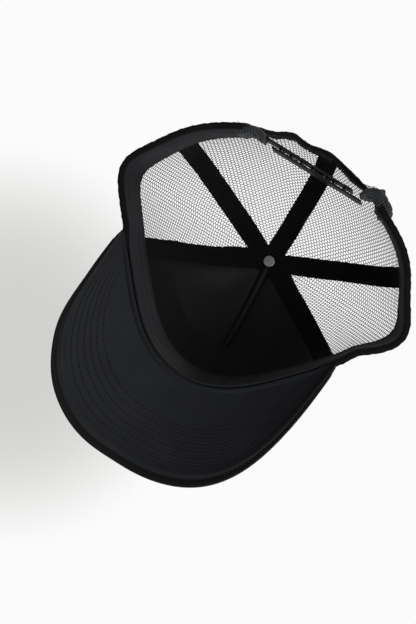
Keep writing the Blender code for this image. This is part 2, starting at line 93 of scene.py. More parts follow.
# The hem's folded mesh
HEM_HEIGHT = 11.5 * MM
HEM_ROLL = 1.2 * MM

# Each tab's strap and its body, the reach past the opening's edge, the swell outwards,
# half the thickness, and how far its mouth lies ahead of the strap's hinge
TABS = {
    "left": ("snap_strap_holes", "hole_strap", 9.0 * MM, -2.0 * MM, 3.6 * MM, -1.0 * MM),
    "right": ("snap_strap_pegs", "peg_strap", 8.0 * MM, 1.4 * MM, 5.6 * MM, 6.5 * MM),
}
TAB_MIDDLE = 10.6 * MM

VISOR_LENGTH = 0.073
VISOR_HALF = 0.0900
VISOR_CORNER = 1.18
VISOR_TUCK = 2.4 * MM
VISOR_SLOPE = 0.47
VISOR_ARCH = 4.2
VISOR_POWER = 2.85
VISOR_LIFT = 2.2 * MM
VISOR_CLEAR = 0.6 * MM
FRONT_SWELL = 2.8 * MM
LEFT_SWELL = 1.6 * MM
EDGE_WIDTH = 5.5 * MM
EDGE_HALF = 2.35 * MM
EDGE_ROUND = 2.2 * MM
EDGE_STITCH = 4.4 * MM
STITCH_ROWS = 6
FIRST_ROW = 15.5 * MM
ROW_PITCH = 5.0 * MM

# Open knitted mesh: columns of holes between nearly straight wales
WALE_PITCH = 2.35 * MM
COURSE_PITCH = 2.0 * MM
WALE_HALF = 0.20 * MM
COURSE_HALF = 0.19 * MM
WALE_ZIGZAG = 0.10
NET_THICK = 0.42 * MM
NET_DEPTH = 0.4 * MM
GRAIN_SHIFT = 0.20

# How the soft crown has settled: its top has drifted, and the dart with it
TOP_DRIFT = (2.6 * MM, -1.0 * MM)
DART_ANGLE = -0.12

# Where it's dented or stands out: (angle, spread, distance outwards)
RIM_DENTS = (
    (-1.60, 0.16, 3.0 * MM),
    (-2.05, 0.35, 3.5 * MM),
    (-1.33, 0.07, -1.5 * MM),
    (1.20, 0.10, -1.2 * MM),
)
ARCH_DENTS = ((2.80, 0.11, 4.5 * MM),)
FOOT_DENTS = ((-2.64, 0.11, 7.5 * MM),)
SHOULDER_DENTS = ((0.45, 0.36, 2.0 * MM),)
SHOULDER_SHARE = 0.46

# The camera looks up into the upturned crown, from the wearer's right and a little ahead
CAMERA_PLACE = (-0.2091, -0.2853, -1.2767)
CAMERA_RIGHT = (-0.8335, 0.5521, 0.0219)
CAMERA_AHEAD = (0.1600, 0.2031, 0.9660)
FOCAL_SHARE = 3.178
SENSOR = 36.0

# White surroundings with a painted shadow, a darker patch about one direction where the cap's soft shadow on the
# backdrop would fall, and the even light that falls on the cap
SKY = (0.965, 0.965, 0.965, 1.0)
SKY_SHADE = (0.64, 0.635, 0.62, 1.0)
SHADE_TOWARD = (0.235, 0.132, 0.963)
SHADE_START = 0.9945
FILL_COLOUR = (0.95, 0.97, 1.0, 1.0)
FILL_STRENGTH = 0.27

# Lamps: name, place, height of the place they face, size, power
LAMPS = (
    ("key_above", (-0.9, -0.9, 1.5), 0.05, 1.2, 22),
    ("fill_above", (1.1, 0.8, 1.2), 0.05, 1.4, 10),
    ("key_below", (-1.15, -0.30, -0.90), 0.03, 0.8, 20),
)
FLOOR_HALF = 3.0
FLOOR_DROP = 1.0 * MM


# ---------------------------------------------------------------- the cap's place in the frame


def stand_matrix():
    """The crown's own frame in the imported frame, from the mount that names its rim plane."""
    mount = next(m for m in frame["record"]["mounts"] if m["name"] == "head_opening")
    down = Vector(mount["axis"]).normalized()
    lean = math.atan2(down.y, -down.z)
    return Matrix.Translation(mount["pos_m"]) @ Matrix.Rotation(lean, 4, "X")


STAND = stand_matrix()
STAND_ROT = np.array(STAND.to_3x3())
STAND_POS = np.array(STAND.translation)


def to_frame(points):
    """Points of the crown's own frame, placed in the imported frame."""
    return np.asarray(points) @ STAND_ROT.T + STAND_POS


# ---------------------------------------------------------------- the crown's surface


def rim_radius(angle):
    """A squarish egg: half an oval ahead, half a shorter one behind."""
    sine, cosine = np.sin(angle), np.cos(angle)
    length = np.where(cosine > 0, FRONT_RADIUS, BACK_RADIUS)
    oval = 1.0 / np.sqrt((sine / SIDE_RADIUS) ** 2 + (cosine / length) ** 2)
    return oval * (1.0 + RIM_SQUARE * np.cos(4 * angle) + RIM_EGG * np.cos(3 * angle))


def side_corner(angle):
    """How far the rim stands out at its two sides, where the visor's ends stop bending it."""
    return RIM_CORNER * np.exp(-(((np.abs(angle) - CORNER_ANGLE) / CORNER_SPREAD) ** 2))


def bulge(angle):
    """How square-shouldered the crown's outline is, seen from the side at this angle."""
    ahead = np.clip(np.cos(angle), 0, None)
    behind = np.clip(-np.cos(angle), 0, None)
    return FRONT_BULGE * ahead + BACK_BULGE * behind + SIDE_BULGE * (1.0 - ahead - behind)


class Crown:
    """A table of the crown's outline at many angles, read by angle and run from the rim."""

    def __init__(self, columns=641, rows=241):
        self.limit = math.pi + 0.4
        self.angles = np.linspace(-self.limit, self.limit, columns)
        turn = np.linspace(0.0, math.pi / 2, 400)[None, :]
        a = self.angles[:, None]
        power = 2.0 / bulge(a)
        rise = np.sin(turn) ** power
        level = rim_radius(a) + side_corner(a) * (1.0 - rise**2)
        reach = level * np.clip(np.cos(turn), 0.0, 1.0) ** power
        fine = np.stack(
            [reach * np.sin(a), -reach * np.cos(a) + APEX_SHIFT * rise, CROWN_HEIGHT * rise], axis=2
        )
        steps = np.linalg.norm(np.diff(fine, axis=1), axis=2)
        runs = np.concatenate([np.zeros((columns, 1)), np.cumsum(steps, axis=1)], axis=1)
        self.full = runs[:, -1]
        self.table = np.zeros((columns, rows, 3))
        share = np.linspace(0, 1, rows)
        for i in range(columns):
            for k in range(3):
                self.table[i, :, k] = np.interp(share * self.full[i], runs[i], fine[i, :, k])
        self.rows = rows
        self.columns = columns

    def full_run(self, angle):
        return np.interp(angle, self.angles, self.full)

    def base(self, angle, run):
        angle, run = np.broadcast_arrays(np.asarray(angle, float), np.asarray(run, float))
        u = (angle + self.limit) / (2 * self.limit) * (self.columns - 1)
        v = np.clip(run / self.full_run(angle), -0.02, 1.0) * (self.rows - 1)
        i = np.clip(np.floor(u).astype(int), 0, self.columns - 2)
        j = np.clip(np.floor(v).astype(int), 0, self.rows - 2)
        fu, fv = (u - i)[..., None], (v - j)[..., None]
        t = self.table
        low = t[i, j] * (1 - fu) + t[i + 1, j] * fu
        high = t[i, j + 1] * (1 - fu) + t[i + 1, j + 1] * fu
        return low * (1 - fv) + high * fv

    def normal(self, angle, run):
        """Unit vector into the crown."""
        along = self.base(angle, run + 2 * MM) - self.base(angle, np.maximum(run - 2 * MM, 0.0))
        around = self.base(angle + 0.02, run) - self.base(angle - 0.02, run)
        inward = np.cross(along, around)
        inward /= np.linalg.norm(inward, axis=-1, keepdims=True) + 1e-12
        middle = np.array([0.0, APEX_SHIFT, 0.45 * CROWN_HEIGHT])
        facing = np.sum(inward * (middle - self.base(angle, run)), axis=-1, keepdims=True)
        return np.where(facing < 0, -inward, inward)

    def point(self, angle, run, depth=0.0):
        angle, run, depth = np.broadcast_arrays(
            np.asarray(angle, float), np.asarray(run, float), np.asarray(depth, float)
        )
        slack = soft_shape(angle, run, self.full_run(angle))
        placed = self.base(angle, run) + self.normal(angle, run) * (depth + slack)[..., None]
        drift = np.clip(placed[..., 2] / CROWN_HEIGHT, 0.0, None) ** 2
        placed[..., 0] += TOP_DRIFT[0] * drift
        placed[..., 1] += TOP_DRIFT[1] * drift
        return placed

    def level_radius(self, angle, run):
        p = self.base(angle, run)
        return np.hypot(p[..., 0], p[..., 1] - APEX_SHIFT * p[..., 2] / CROWN_HEIGHT)

    def top_run(self, angle, radius=TOP_HOLE):
        """Run from the rim at which the crown is this near to its top."""
        runs = np.linspace(0.0, 1.0, 400)
        out = []
        for a in np.atleast_1d(angle):
            full = float(self.full_run(a))
            away = self.level_radius(a, runs * full)
            out.append(np.interp(-radius, -away, runs * full))
        return np.array(out)


def hump(angle, centre, spread):
    return np.exp(-(((angle - centre) / spread) ** 2))


def dents(angle, places):
    return sum(distance * hump(angle, centre, spread) for centre, spread, distance in places)


def soft_shape(angle, run, full):
    """How far the cloth sinks in: mesh panels lie a little flatter than the seams beside them."""
    share = np.clip(run / full, 0.0, 1.0)
    turn = np.abs(angle)
    side = (turn - FRONT_SEAM) / (SIDE_SEAM - FRONT_SEAM)
    rear = (turn - SIDE_SEAM) / (BACK - SIDE_SEAM)
    across = np.where(turn < SIDE_SEAM, side, rear)
    sag = np.sin(np.clip(across, 0, 1) * math.pi) ** 2 * (turn > FRONT_SEAM)
    lift = np.sin(np.clip((share - 0.22) / 0.78, 0, 1) * math.pi) ** 1.3
    ripple = np.sin(angle * 7.0 + 1.3) * np.sin(share * 9.0 + angle * 2.0)
    rim_level = np.exp(-((run / 0.045) ** 2))
    foot_level = np.exp(-(((run - 0.022) / 0.030) ** 2))
    arch_level = np.exp(-(((run - 0.050) / 0.032) ** 2))
    shoulder_level = np.exp(-np.abs(share - SHOULDER_SHARE) / 0.10)
    behind = BACK - turn
    arch_out = (3.0 * MM + 2.6 * MM * hump(behind, 0.0, 0.17)) * hump(behind, 0.0, 0.62)
    out = dents(angle, RIM_DENTS) * rim_level + dents(angle, FOOT_DENTS) * foot_level
    out = out + (arch_out + dents(angle, ARCH_DENTS)) * arch_level
    out = out + dents(angle, SHOULDER_DENTS) * shoulder_level
    return sag * lift * 2.2 * MM + ripple * lift * 0.5 * MM - out


crown = Crown()


def arch_angle(across):
    """Angle from the centre of the back to a place this far from it along the rim."""
    return across / (BACK_RADIUS * (1.0 + RIM_SQUARE - RIM_EGG))


def arch_run(angle, grow=0.0):
    """Height of the back opening's edge, as a run from the rim."""
    offset = np.abs(np.abs(angle) - BACK) / arch_angle(1.0)
    half = ARCH_HALF + grow
    inside = np.clip(1.0 - (offset / half) ** 2, 0.0, None)
    return (ARCH_HEIGHT + grow) * np.sqrt(inside)


# ---------------------------------------------------------------- meshes


def link_object(name, data):
    made = bpy.data.objects.new(name, data)
    bpy.context.scene.collection.objects.link(made)
    return made


def new_object(name, points, faces, look, uvs=None, smooth=True):
    """A mesh from points in the crown's own frame, with cloth coordinates in metres."""
    mesh = bpy.data.meshes.new(name)
    mesh.from_pydata(to_frame(points).tolist(), [], faces)
    if uvs is not None:
        layer = mesh.uv_layers.new(name="cloth")
        index = np.zeros(len(mesh.loops), dtype=np.int32)
        mesh.loops.foreach_get("vertex_index", index)
        layer.data.foreach_set("uv", np.asarray(uvs, dtype=np.float32)[index].ravel())
    mesh.materials.append(look)
    if smooth:
        mesh.shade_smooth()
        mesh.set_sharp_from_angle(angle=math.radians(50.0))
    return link_object(name, mesh)


def grid_faces(rows, cols, start=0, closed=False):
    faces = []
    last = cols if closed else cols - 1
    for r in range(rows - 1):
        for c in range(last):
            a = start + r * cols + c
            b = start + r * cols + (c + 1) % cols
            faces.append((a, b, b + cols, a + cols))
    return faces


def fix_normals(made):
    """Turn all faces of closed bodies outwards."""
    shell = bmesh.new()
    shell.from_mesh(made.data)
    bmesh.ops.recalc_face_normals(shell, faces=shell.faces)
    shell.to_mesh(made.data)
    shell.free()


def slab(name, outer, inner, look, uv):
    """A closed sheet between two grids of points."""
    rows, cols = outer.shape[:2]
    size = rows * cols
    points = np.concatenate([outer.reshape(-1, 3), inner.reshape(-1, 3)])
    uvs = np.concatenate([uv.reshape(-1, 2), uv.reshape(-1, 2)])
    faces = grid_faces(rows, cols)
    faces += [tuple(reversed(f)) for f in grid_faces(rows, cols, size)]
    ring = list(range(cols))
    ring += [r * cols + cols - 1 for r in range(1, rows)]
    ring += [(rows - 1) * cols + c for c in range(cols - 2, -1, -1)]
    ring += [r * cols for r in range(rows - 2, 0, -1)]
    for i, a in enumerate(ring):
        b = ring[(i + 1) % len(ring)]
        faces.append((b, a, size + a, size + b))
    made = new_object(name, points, faces, look, uvs)
    fix_normals(made)
    return made


def tube_sweep(name, sections, look, uv=None):
    """A closed body through sections of the same number of points, capped at both ends."""
    sections = np.asarray(sections)
    count, sides = sections.shape[:2]
    points = sections.reshape(-1, 3)
    faces = grid_faces(count, sides, closed=True)
    faces.append(tuple(range(sides)))
    faces.append(tuple((count - 1) * sides + i for i in reversed(range(sides))))
    if uv is None:
        uv = np.stack(np.meshgrid(lengths(sections[count // 2]), lengths(sections.mean(axis=1))), axis=2)
    made = new_object(name, points, faces, look, uv.reshape(-1, 2))
    fix_normals(made)
    return made


def lengths(path):
    """How far along a path each of its points lies."""
    steps = np.linalg.norm(np.diff(path, axis=0), axis=1)
    return np.concatenate([[0.0], np.cumsum(steps)])


def stitches(name, lines, look, length=2.3 * MM, gap=0.9 * MM, radius=0.24 * MM, lift=0.1 * MM):
    """Rows of short rounded threads. Each line is (points, outward normals) in the crown's frame."""
    sides, rings = 6, 5
    blocks = []
    turn = 2 * math.pi * np.arange(sides) / sides
    t = np.linspace(0, 1, rings)
    arc = np.sin(math.pi * t)
    thick = radius * (0.35 + 0.65 * arc**0.5)
    rise = lift + radius * (0.9 * arc - 0.5)
    for path, normals in lines:
        run = lengths(path)
        count = int(run[-1] / (length + gap))
        starts = (np.arange(count) + 0.5) * run[-1] / count - length / 2
        s = starts[:, None] + length * t
        here = along(s, run, path)
        forward = unit(along(s + 0.2 * MM, run, path) - along(s - 0.2 * MM, run, path))
        up = unit(along(s, run, normals))
        across = np.cross(forward, up)
        centre = here + up * rise[None, :, None]
        ring = across[:, :, None, :] * np.cos(turn)[None, None, :, None]
        ring = ring + up[:, :, None, :] * np.sin(turn)[None, None, :, None]
        points = centre[:, :, None, :] + ring * thick[None, :, None, None]
        blocks.append(points.reshape(-1, sides, 3))
    points = np.concatenate(blocks).reshape(-1, 3)
    faces = []
    for base in range(0, len(points), rings * sides):
        faces += grid_faces(rings, sides, base, closed=True)
        faces.append(tuple(base + q for q in reversed(range(sides))))
        faces.append(tuple(base + (rings - 1) * sides + q for q in range(sides)))
    made = new_object(name, points, faces, look)
    fix_normals(made)
    return made


def along(s, run, values):
    return np.stack([np.interp(s, run, values[:, k]) for k in range(3)], axis=-1)


def unit(vectors):
    return vectors / (np.linalg.norm(vectors, axis=-1, keepdims=True) + 1e-12)


# ---------------------------------------------------------------- materials


def add_node(tree, kind, inputs=None, **settings):
    """A node with its settings, and inputs that are either values or another node's output."""
    node = tree.nodes.new(kind)
    for key, value in settings.items():
        setattr(node, key, value)
    for key, value in (inputs or {}).items():
        if isinstance(value, bpy.types.NodeSocket):
            tree.links.new(value, node.inputs[key])
        else:
            node.inputs[key].default_value = value
    return node


class Nodes:
    """A small helper for building one material's node tree."""

    def __init__(self, name, colour, roughness, metallic=0.0, **fixed):
        self.material = bpy.data.materials.new(name)
        self.material.use_nodes = True
        self.material.diffuse_color = (*colour, 1.0)
        self.tree = self.material.node_tree
        self.shader = self.tree.nodes["Principled BSDF"]
        self.shader.inputs["Base Color"].default_value = (*colour, 1.0)
        self.shader.inputs["Roughness"].default_value = roughness
        self.shader.inputs["Metallic"].default_value = metallic
        for key, value in fixed.items():
            self.shader.inputs[key.replace("_", " ")].default_value = value
        self.where = self.add("ShaderNodeTexCoord").outputs["Object"]

    def add(self, kind, inputs=None, **settings):
        return add_node(self.tree, kind, inputs, **settings)

    def math(self, operation, a, b):
        return self.add("ShaderNodeMath", {0: a, 1: b}, operation=operation).outputs[0]

    def blend(self, a, b, share):
        """Two grey patterns, the second with this share of the sum."""
        return self.math("ADD", self.math("MULTIPLY", a, 1.0 - share), self.math("MULTIPLY", b, share))

    def uv(self, scale_x, scale_y, turn=0.0):
        """Cloth coordinates: the UV map is in metres, so a scale is repeats to the metre."""
        source = self.add("ShaderNodeUVMap", uv_map="cloth")
        inputs = {"Vector": source.outputs[0], "Scale": (scale_x, scale_y, 1.0)}
        inputs["Rotation"] = (0.0, 0.0, turn)
        return self.add("ShaderNodeMapping", inputs).outputs[0]

    def wave(self, vector, **settings):
        """Ribs, one to each unit of the coordinates."""
        inputs = {"Vector": vector, "Scale": 0.159}
        return self.add("ShaderNodeTexWave", inputs, **settings)

    def noise(self, scale, detail=4.0, roughness=0.55):
        inputs = {"Vector": self.where, "Scale": scale, "Detail": detail, "Roughness": roughness}
        return self.add("ShaderNodeTexNoise", inputs).outputs["Fac"]

    def ramp(self, value, low, high, start=0.0, end=1.0):
        inputs = {0: value, 1: start, 2: end, 3: low, 4: high}
        return self.add("ShaderNodeMapRange", inputs).outputs[0]

    def mix(self, factor, a, b):
        a, b = ((*side, 1.0) if isinstance(side, tuple) else side for side in (a, b))
        return self.add("ShaderNodeMix", {0: factor, 6: a, 7: b}, data_type="RGBA").outputs[2]

    def colour(self, socket):
        self.tree.links.new(socket, self.shader.inputs["Base Color"])

    def tint(self, value, start, end, dark, light):
        """Colour the surface from dark to light as the value goes from start to end."""
        self.colour(self.mix(self.ramp(value, 0.0, 1.0, start, end), dark, light))

    def rough(self, socket):
        self.tree.links.new(socket, self.shader.inputs["Roughness"])

    def bump(self, height, distance, strength=1.0, after=None):
        inputs = {"Height": height, "Distance": distance, "Strength": strength}
        if after is not None:
            inputs["Normal"] = after
        node = self.add("ShaderNodeBump", inputs)
        self.tree.links.new(node.outputs[0], self.shader.inputs["Normal"])
        return node.outputs[0]


def twill_cloth(name, colour, light, roughness=0.82, turn=0.9):
    """Twill: fine diagonal ribs crossed by threads, soft mottling and a little lint."""
    sheen = {"Sheen_Weight": 0.06, "Sheen_Roughness": 0.45}
    n = Nodes(name, colour, roughness, Specular_IOR_Level=0.2, **sheen)
    rib = 0.42 * MM
    ribs = n.wave(n.uv(1.0 / rib, 1.0 / rib, turn))
    ribs.inputs["Distortion"].default_value = 0.6
    ribs.inputs["Detail"].default_value = 1.0
    threads = n.wave(n.uv(1.0 / (0.45 * rib), 1.0 / (0.45 * rib), turn + 1.25))
    weave = n.blend(ribs.outputs["Fac"], threads.outputs["Fac"], 0.3)
    mottle = n.noise(38.0, 5.0)
    lint = n.ramp(n.noise(900.0, 2.0), 0.0, 1.0, 0.62, 0.75)
    tone = n.blend(weave, mottle, 0.55)
    base = n.mix(n.ramp(tone, 0.0, 1.0, 0.25, 0.8), colour, light)
    n.colour(n.mix(n.math("MULTIPLY", lint, 0.2), base, tuple(1.8 * c for c in light)))
    n.rough(n.ramp(tone, roughness + 0.08, roughness - 0.1))
    n.bump(mottle, 0.25 * MM, 0.5, n.bump(weave, 0.045 * MM))
    return n.material


def mesh_thread(name):
    n = Nodes(name, (0.006, 0.006, 0.007), 0.5, Specular_IOR_Level=0.3)
    strands = n.noise(2600.0, 2.0)
    n.tint(n.noise(60.0, 3.0), 0.3, 0.7, (0.005, 0.005, 0.006), (0.010, 0.010, 0.011))
    n.rough(n.ramp(strands, 0.4, 0.62))
    n.bump(strands, 0.06 * MM)
    return n.material


def lining_cloth(name):
    """The smooth brushed face of the foam-backed front, with a soft low sheen."""
    sheen = {"Sheen_Weight": 0.05, "Sheen_Roughness": 0.35}
    n = Nodes(name, (0.003, 0.003, 0.0035), 0.55, Specular_IOR_Level=0.25, **sheen)
    knit = n.uv(1.0 / (0.55 * MM), 1.0 / (0.8 * MM))
    cells = n.add("ShaderNodeTexVoronoi", {"Vector": knit, "Scale": 1.0}).outputs["Distance"]
    mottle = n.noise(30.0)
    n.tint(mottle, 0.3, 0.75, (0.002, 0.002, 0.0025), (0.0045, 0.0045, 0.005))
    n.rough(n.ramp(mottle, 0.62, 0.48))
    n.bump(mottle, 0.6 * MM, 0.4, n.bump(cells, 0.08 * MM, 0.7))
    return n.material


def woven_tape(name, colour, light, across=0.55 * MM, along=0.7 * MM, sheen=0.02):
    """Plain woven tape: two sets of threads that cross."""
    n = Nodes(name, colour, 0.9, Sheen_Weight=sheen, Specular_IOR_Level=0.12)
    cloth = n.uv(1.0 / across, 1.0 / along)
    warp, weft = (n.wave(cloth, bands_direction=way).outputs["Fac"] for way in "XY")
    weave = n.math("MULTIPLY", warp, weft)
    tone = n.blend(weave, n.noise(70.0), 0.4)
    n.tint(tone, 0.15, 0.8, colour, light)
    n.rough(n.ramp(tone, 0.95, 0.78))
    n.bump(weave, 0.14 * MM)
    return n.material


def moulded_plastic(name):
    n = Nodes(name, (0.005, 0.005, 0.006), 0.34, Specular_IOR_Level=0.4)
    wear = n.noise(45.0, 5.0)
    n.tint(wear, 0.35, 0.75, (0.004, 0.004, 0.005), (0.009, 0.009, 0.010))
    n.rough(n.ramp(wear, 0.26, 0.42, 0.3, 0.7))
    n.bump(n.noise(900.0, 2.0), 0.03 * MM)
    return n.material


def satin_steel(name):
    n = Nodes(name, (0.30, 0.30, 0.31), 0.42, metallic=1.0, Anisotropic=0.3)
    scuffs = n.noise(700.0, 4.0, 0.7)
    n.tint(n.noise(240.0, 3.0), 0.3, 0.75, (0.24, 0.24, 0.25), (0.38, 0.38, 0.39))
    n.rough(n.ramp(scuffs, 0.36, 0.52))
    n.bump(scuffs, 0.02 * MM)
    return n.material


def thread_look(name, colour):
    n = Nodes(name, colour, 0.6, Specular_IOR_Level=0.2)
    twist = n.noise(3200.0, 2.0)
    n.tint(twist, 0.35, 0.7, colour, tuple(1.8 * c for c in colour))
    n.bump(twist, 0.05 * MM)
    return n.material


def floor_look(name):
    """Pale matt floor, seen only from above so that the cap's inside can be seen from below."""
    n = Nodes(name, (0.82, 0.82, 0.81), 0.7, Specular_IOR_Level=0.2)
    n.shader.inputs["Emission Color"].default_value = (0.95, 0.95, 0.94, 1.0)
    n.shader.inputs["Emission Strength"].default_value = 0.28
    clear = n.add("ShaderNodeBsdfTransparent")
    side = n.add("ShaderNodeNewGeometry").outputs["Backfacing"]
    both = n.add("ShaderNodeMixShader", {0: side, 1: n.shader.outputs[0], 2: clear.outputs[0]})
    out = n.tree.nodes["Material Output"]
    n.tree.links.new(both.outputs[0], out.inputs["Surface"])
    n.colour(n.mix(n.noise(6.0, 3.0), (0.80, 0.80, 0.79), (0.84, 0.84, 0.83)))
    return n.material


# ---------------------------------------------------------------- crown pieces


def crown_uv(angles, runs):
    reach = np.minimum(crown.level_radius(angles, np.minimum(runs, 20 * MM)), 0.11)
    return np.stack([angles * reach, runs], axis=2)


def crown_sheet(name, angle, run, outer, inner, look):
    """A closed sheet of the crown between two depths."""
    faces = [crown.point(angle, run, depth) for depth in (outer, inner)]
    return slab(name, *faces, look, crown_uv(angle, run))


def crown_row(angle, run, depth, side=1):
    """A stitch row's path and its outward normals, inside the crown or, with side -1, outside."""
    return crown.point(angle, run, depth), side * crown.normal(angle, run)


def front_panel(look):
    """The front's outer cloth, which dips at its seams and along the dart."""
    gap = 0.25 * MM / SIDE_RADIUS
    columns = np.linspace(-FRONT_SEAM + gap, FRONT_SEAM - gap, 141)
    angle, share = np.meshgrid(columns, np.linspace(0, 1, 100))
    run = crown.top_run(columns) * share
    level = crown.level_radius(angle, run)
    edge = (FRONT_SEAM - np.abs(angle)) * level
    dart = np.abs(angle - DART_ANGLE) * level
    in_dart = np.clip((share - 0.42) / 0.1, 0, 1)
    dip = 0.7 * MM * np.exp(-edge / (1.2 * MM)) + 0.8 * MM * in_dart * np.exp(-dart / (1.0 * MM))
    return crown_sheet("front_panel_cloth", angle, run, dip, dip + CLOTH, look)


def foam_lining(look):
    """The lining of the front: soft, a little crowned, creased along the dart."""
    low, top_radius = 0.6 * MM, 10.0 * MM
    across, share = np.meshgrid(np.linspace(-1, 1, 121), np.linspace(0, 1, 90))
    seam_run = low + share * (crown.top_run(FRONT_SEAM, top_radius)[0] - low)
    reach = crown.level_radius(FRONT_SEAM, seam_run)
    angle = across * (FRONT_SEAM - (TAPE_WIDTH / 2 - 2.5 * MM) / reach)
    run = low + share * (crown.top_run(angle[-1], top_radius) - low)
    level = crown.level_radius(angle, run)
    edge = (1 - np.abs(across)) * FRONT_SEAM * level
    dart = np.abs(angle - DART_ANGLE) * level
    in_dart = np.clip((share - 0.45) / 0.12, 0, 1)
    pad = 1.0 - np.exp(-edge / (2.5 * MM))
    swell = 0.5 * MM * pad * np.sin(share * math.pi)
    valley = 1.5 * MM * in_dart * np.exp(-((dart / (3.6 * MM)) ** 2))
    depth = CLOTH + 0.5 * MM + 1.0 * MM * pad + swell - valley
    return crown_sheet("front_foam_lining_soft", angle, run, CLOTH + 0.15 * MM, depth, look)


def dart_piece(look, thread):
    """The folded dart inside the front: a raised seam with a stitch row on each side."""
    share = np.linspace(0, 1, 60)
    low = 0.47 * crown.full_run(0.0)
    runs = low + share * (crown.top_run(0.0, 6.0 * MM)[0] - low)
    width = 2.6 * MM * np.minimum(1.0, 0.15 + share * 6)
    level = crown.level_radius(0.0, runs)
    offsets, run = np.meshgrid(np.linspace(-1, 1, 13), runs)
    angle = DART_ANGLE + offsets * (width / level)[:, None]
    fold = 1.7 * MM * (1 - np.abs(offsets) ** 3) * np.minimum(1.0, 0.2 + share[:, None] * 8)
    piece = crown_sheet("front_dart_fold", angle, run, CLOTH + 0.9 * MM, CLOTH + 1.0 * MM + fold, look)
    turns = [DART_ANGLE + side * (width + 0.9 * MM) / level for side in (-1, 1)]
    lines = [crown_row(turn, runs, CLOTH + 1.5 * MM) for turn in turns]
    rows = stitches("front_dart_stitches", lines, thread, length=2.0 * MM)
    return piece, rows


def mesh_panel(name, middle, half_angle, grain, look):
    """Open knitted mesh as a real net: zigzag wales, joined by thinner threads between the holes."""
    widest, stride = 0.125, 10000
    full = crown.full_run(grain)
    top = crown.top_run(grain, 3.0 * MM)[0]
    half = int((half_angle + abs(middle - grain)) * widest / WALE_PITCH) + 2
    rows = int(top / COURSE_PITCH) + 1
    i, j = (a.ravel() for a in np.meshgrid(np.arange(-half, half + 1), np.arange(0, rows)))
    odd = i % 2
    cx = i * WALE_PITCH
    cy = (j + 0.5 * odd + 0.6) * COURSE_PITCH
    reach = np.maximum(crown.level_radius(grain, np.clip(cy, 0.0, top)), 1.0 * MM)
    angle = grain + cx / reach
    keep = np.abs(angle - middle) < half_angle - 0.4 * WALE_PITCH / reach
    keep &= (cy < top) & (cy >= arch_run(angle, NET_CLEAR))
    i, j, odd, cx, cy = i[keep], j[keep], odd[keep], cx[keep], cy[keep]
    level = 2 * j + odd
    keys, inner = [], []
    for wale, step in ((1, -1), (1, 0), (1, 1), (0, 1), (0, 0), (0, -1)):
        keys.append((i + wale + half + 2) * stride + (level + step + 10))
        side = 2 * wale - 1
        bend = WALE_ZIGZAG * (1 - 2 * abs(step)) * WALE_PITCH
        reach_x = side * (0.5 * WALE_PITCH + bend - WALE_HALF)
        inner.append((cx + reach_x, cy + step * (0.5 * COURSE_PITCH - COURSE_HALF)))
    keys = np.stack(keys, axis=1)
    known, index = np.unique(keys, return_inverse=True)
    index = index.reshape(keys.shape)
    wale, row = known // stride - half - 2, known % stride - 10
    lean = np.where((row - (wale - 1) % 2) % 2 == 0, 1.0, -1.0) * WALE_ZIGZAG
    outer = np.stack([(wale - 0.5 + lean) * WALE_PITCH, (0.5 * row + 0.6) * COURSE_PITCH], axis=1)
    holes = np.array(inner).transpose(2, 0, 1).reshape(-1, 2)
    flat = np.concatenate([outer, holes])
    count, first = len(flat), len(outer)
    own = first + np.arange(len(holes)).reshape(-1, 6)
    run = np.clip(flat[:, 1], 0.3 * MM, top + COURSE_PITCH)
    reach = np.maximum(crown.level_radius(grain, run), 1.0 * MM)
    angle = grain + flat[:, 0] / reach
    matched = run + (crown.full_run(angle) - full) * np.clip(run / full, 0, 1) ** 3
    thick = np.where(np.arange(count) < first, 0.5, 0.26) * NET_THICK
    points = np.concatenate([crown.point(angle, matched, NET_DEPTH + way * thick) for way in (-1, 1)])
    return net_object(name, points, count, index, own, look)


def net_object(name, points, count, rims, holes, look):
    """Faces of a net: a ring about every hole, above and below, with walls in holes and at the border."""
    after = np.roll(np.arange(6), -1)
    quads = np.stack([rims, rims[:, after], holes[:, after], holes], axis=2).reshape(-1, 4)
    walls = np.stack([holes, holes[:, after], holes[:, after] + count, holes + count], axis=2).reshape(-1, 4)
    sides = np.stack([rims, rims[:, after]], axis=2).reshape(-1, 2)
    twice = set(map(tuple, sides.tolist()))
    border = [(b, a, a + count, b + count) for a, b in sides.tolist() if (b, a) not in twice]
    faces = quads.tolist() + (quads[:, ::-1] + count).tolist() + walls.tolist() + border
    made = new_object(name, points, faces, look, smooth=False)
    fix_normals(made)
    made.data.shade_smooth()
    made.data.set_sharp_from_angle(angle=math.radians(75.0))
    return made


def mesh_panels(look):
    made = []
    side_mid, side_half = (FRONT_SEAM + SIDE_SEAM) / 2, (SIDE_SEAM - FRONT_SEAM) / 2
    back_mid, back_half = (SIDE_SEAM + BACK) / 2, (BACK - SIDE_SEAM) / 2
    for side, word in SIDES:
        middle = side * side_mid
        made.append(mesh_panel("mesh_net_side_" + word, middle, side_half, middle, look))
        middle, grain = side * back_mid, side * (back_mid - GRAIN_SHIFT)
        made.append(mesh_panel("mesh_net_back_" + word, middle, back_half, grain, look))
    return made


def tape_wave(runs, wander):
    """How far a tape's middle wanders to its sides."""
    return wander * (np.sin(runs / (9 * MM)) + 0.5 * np.sin(runs / (3.7 * MM) + 1.0))


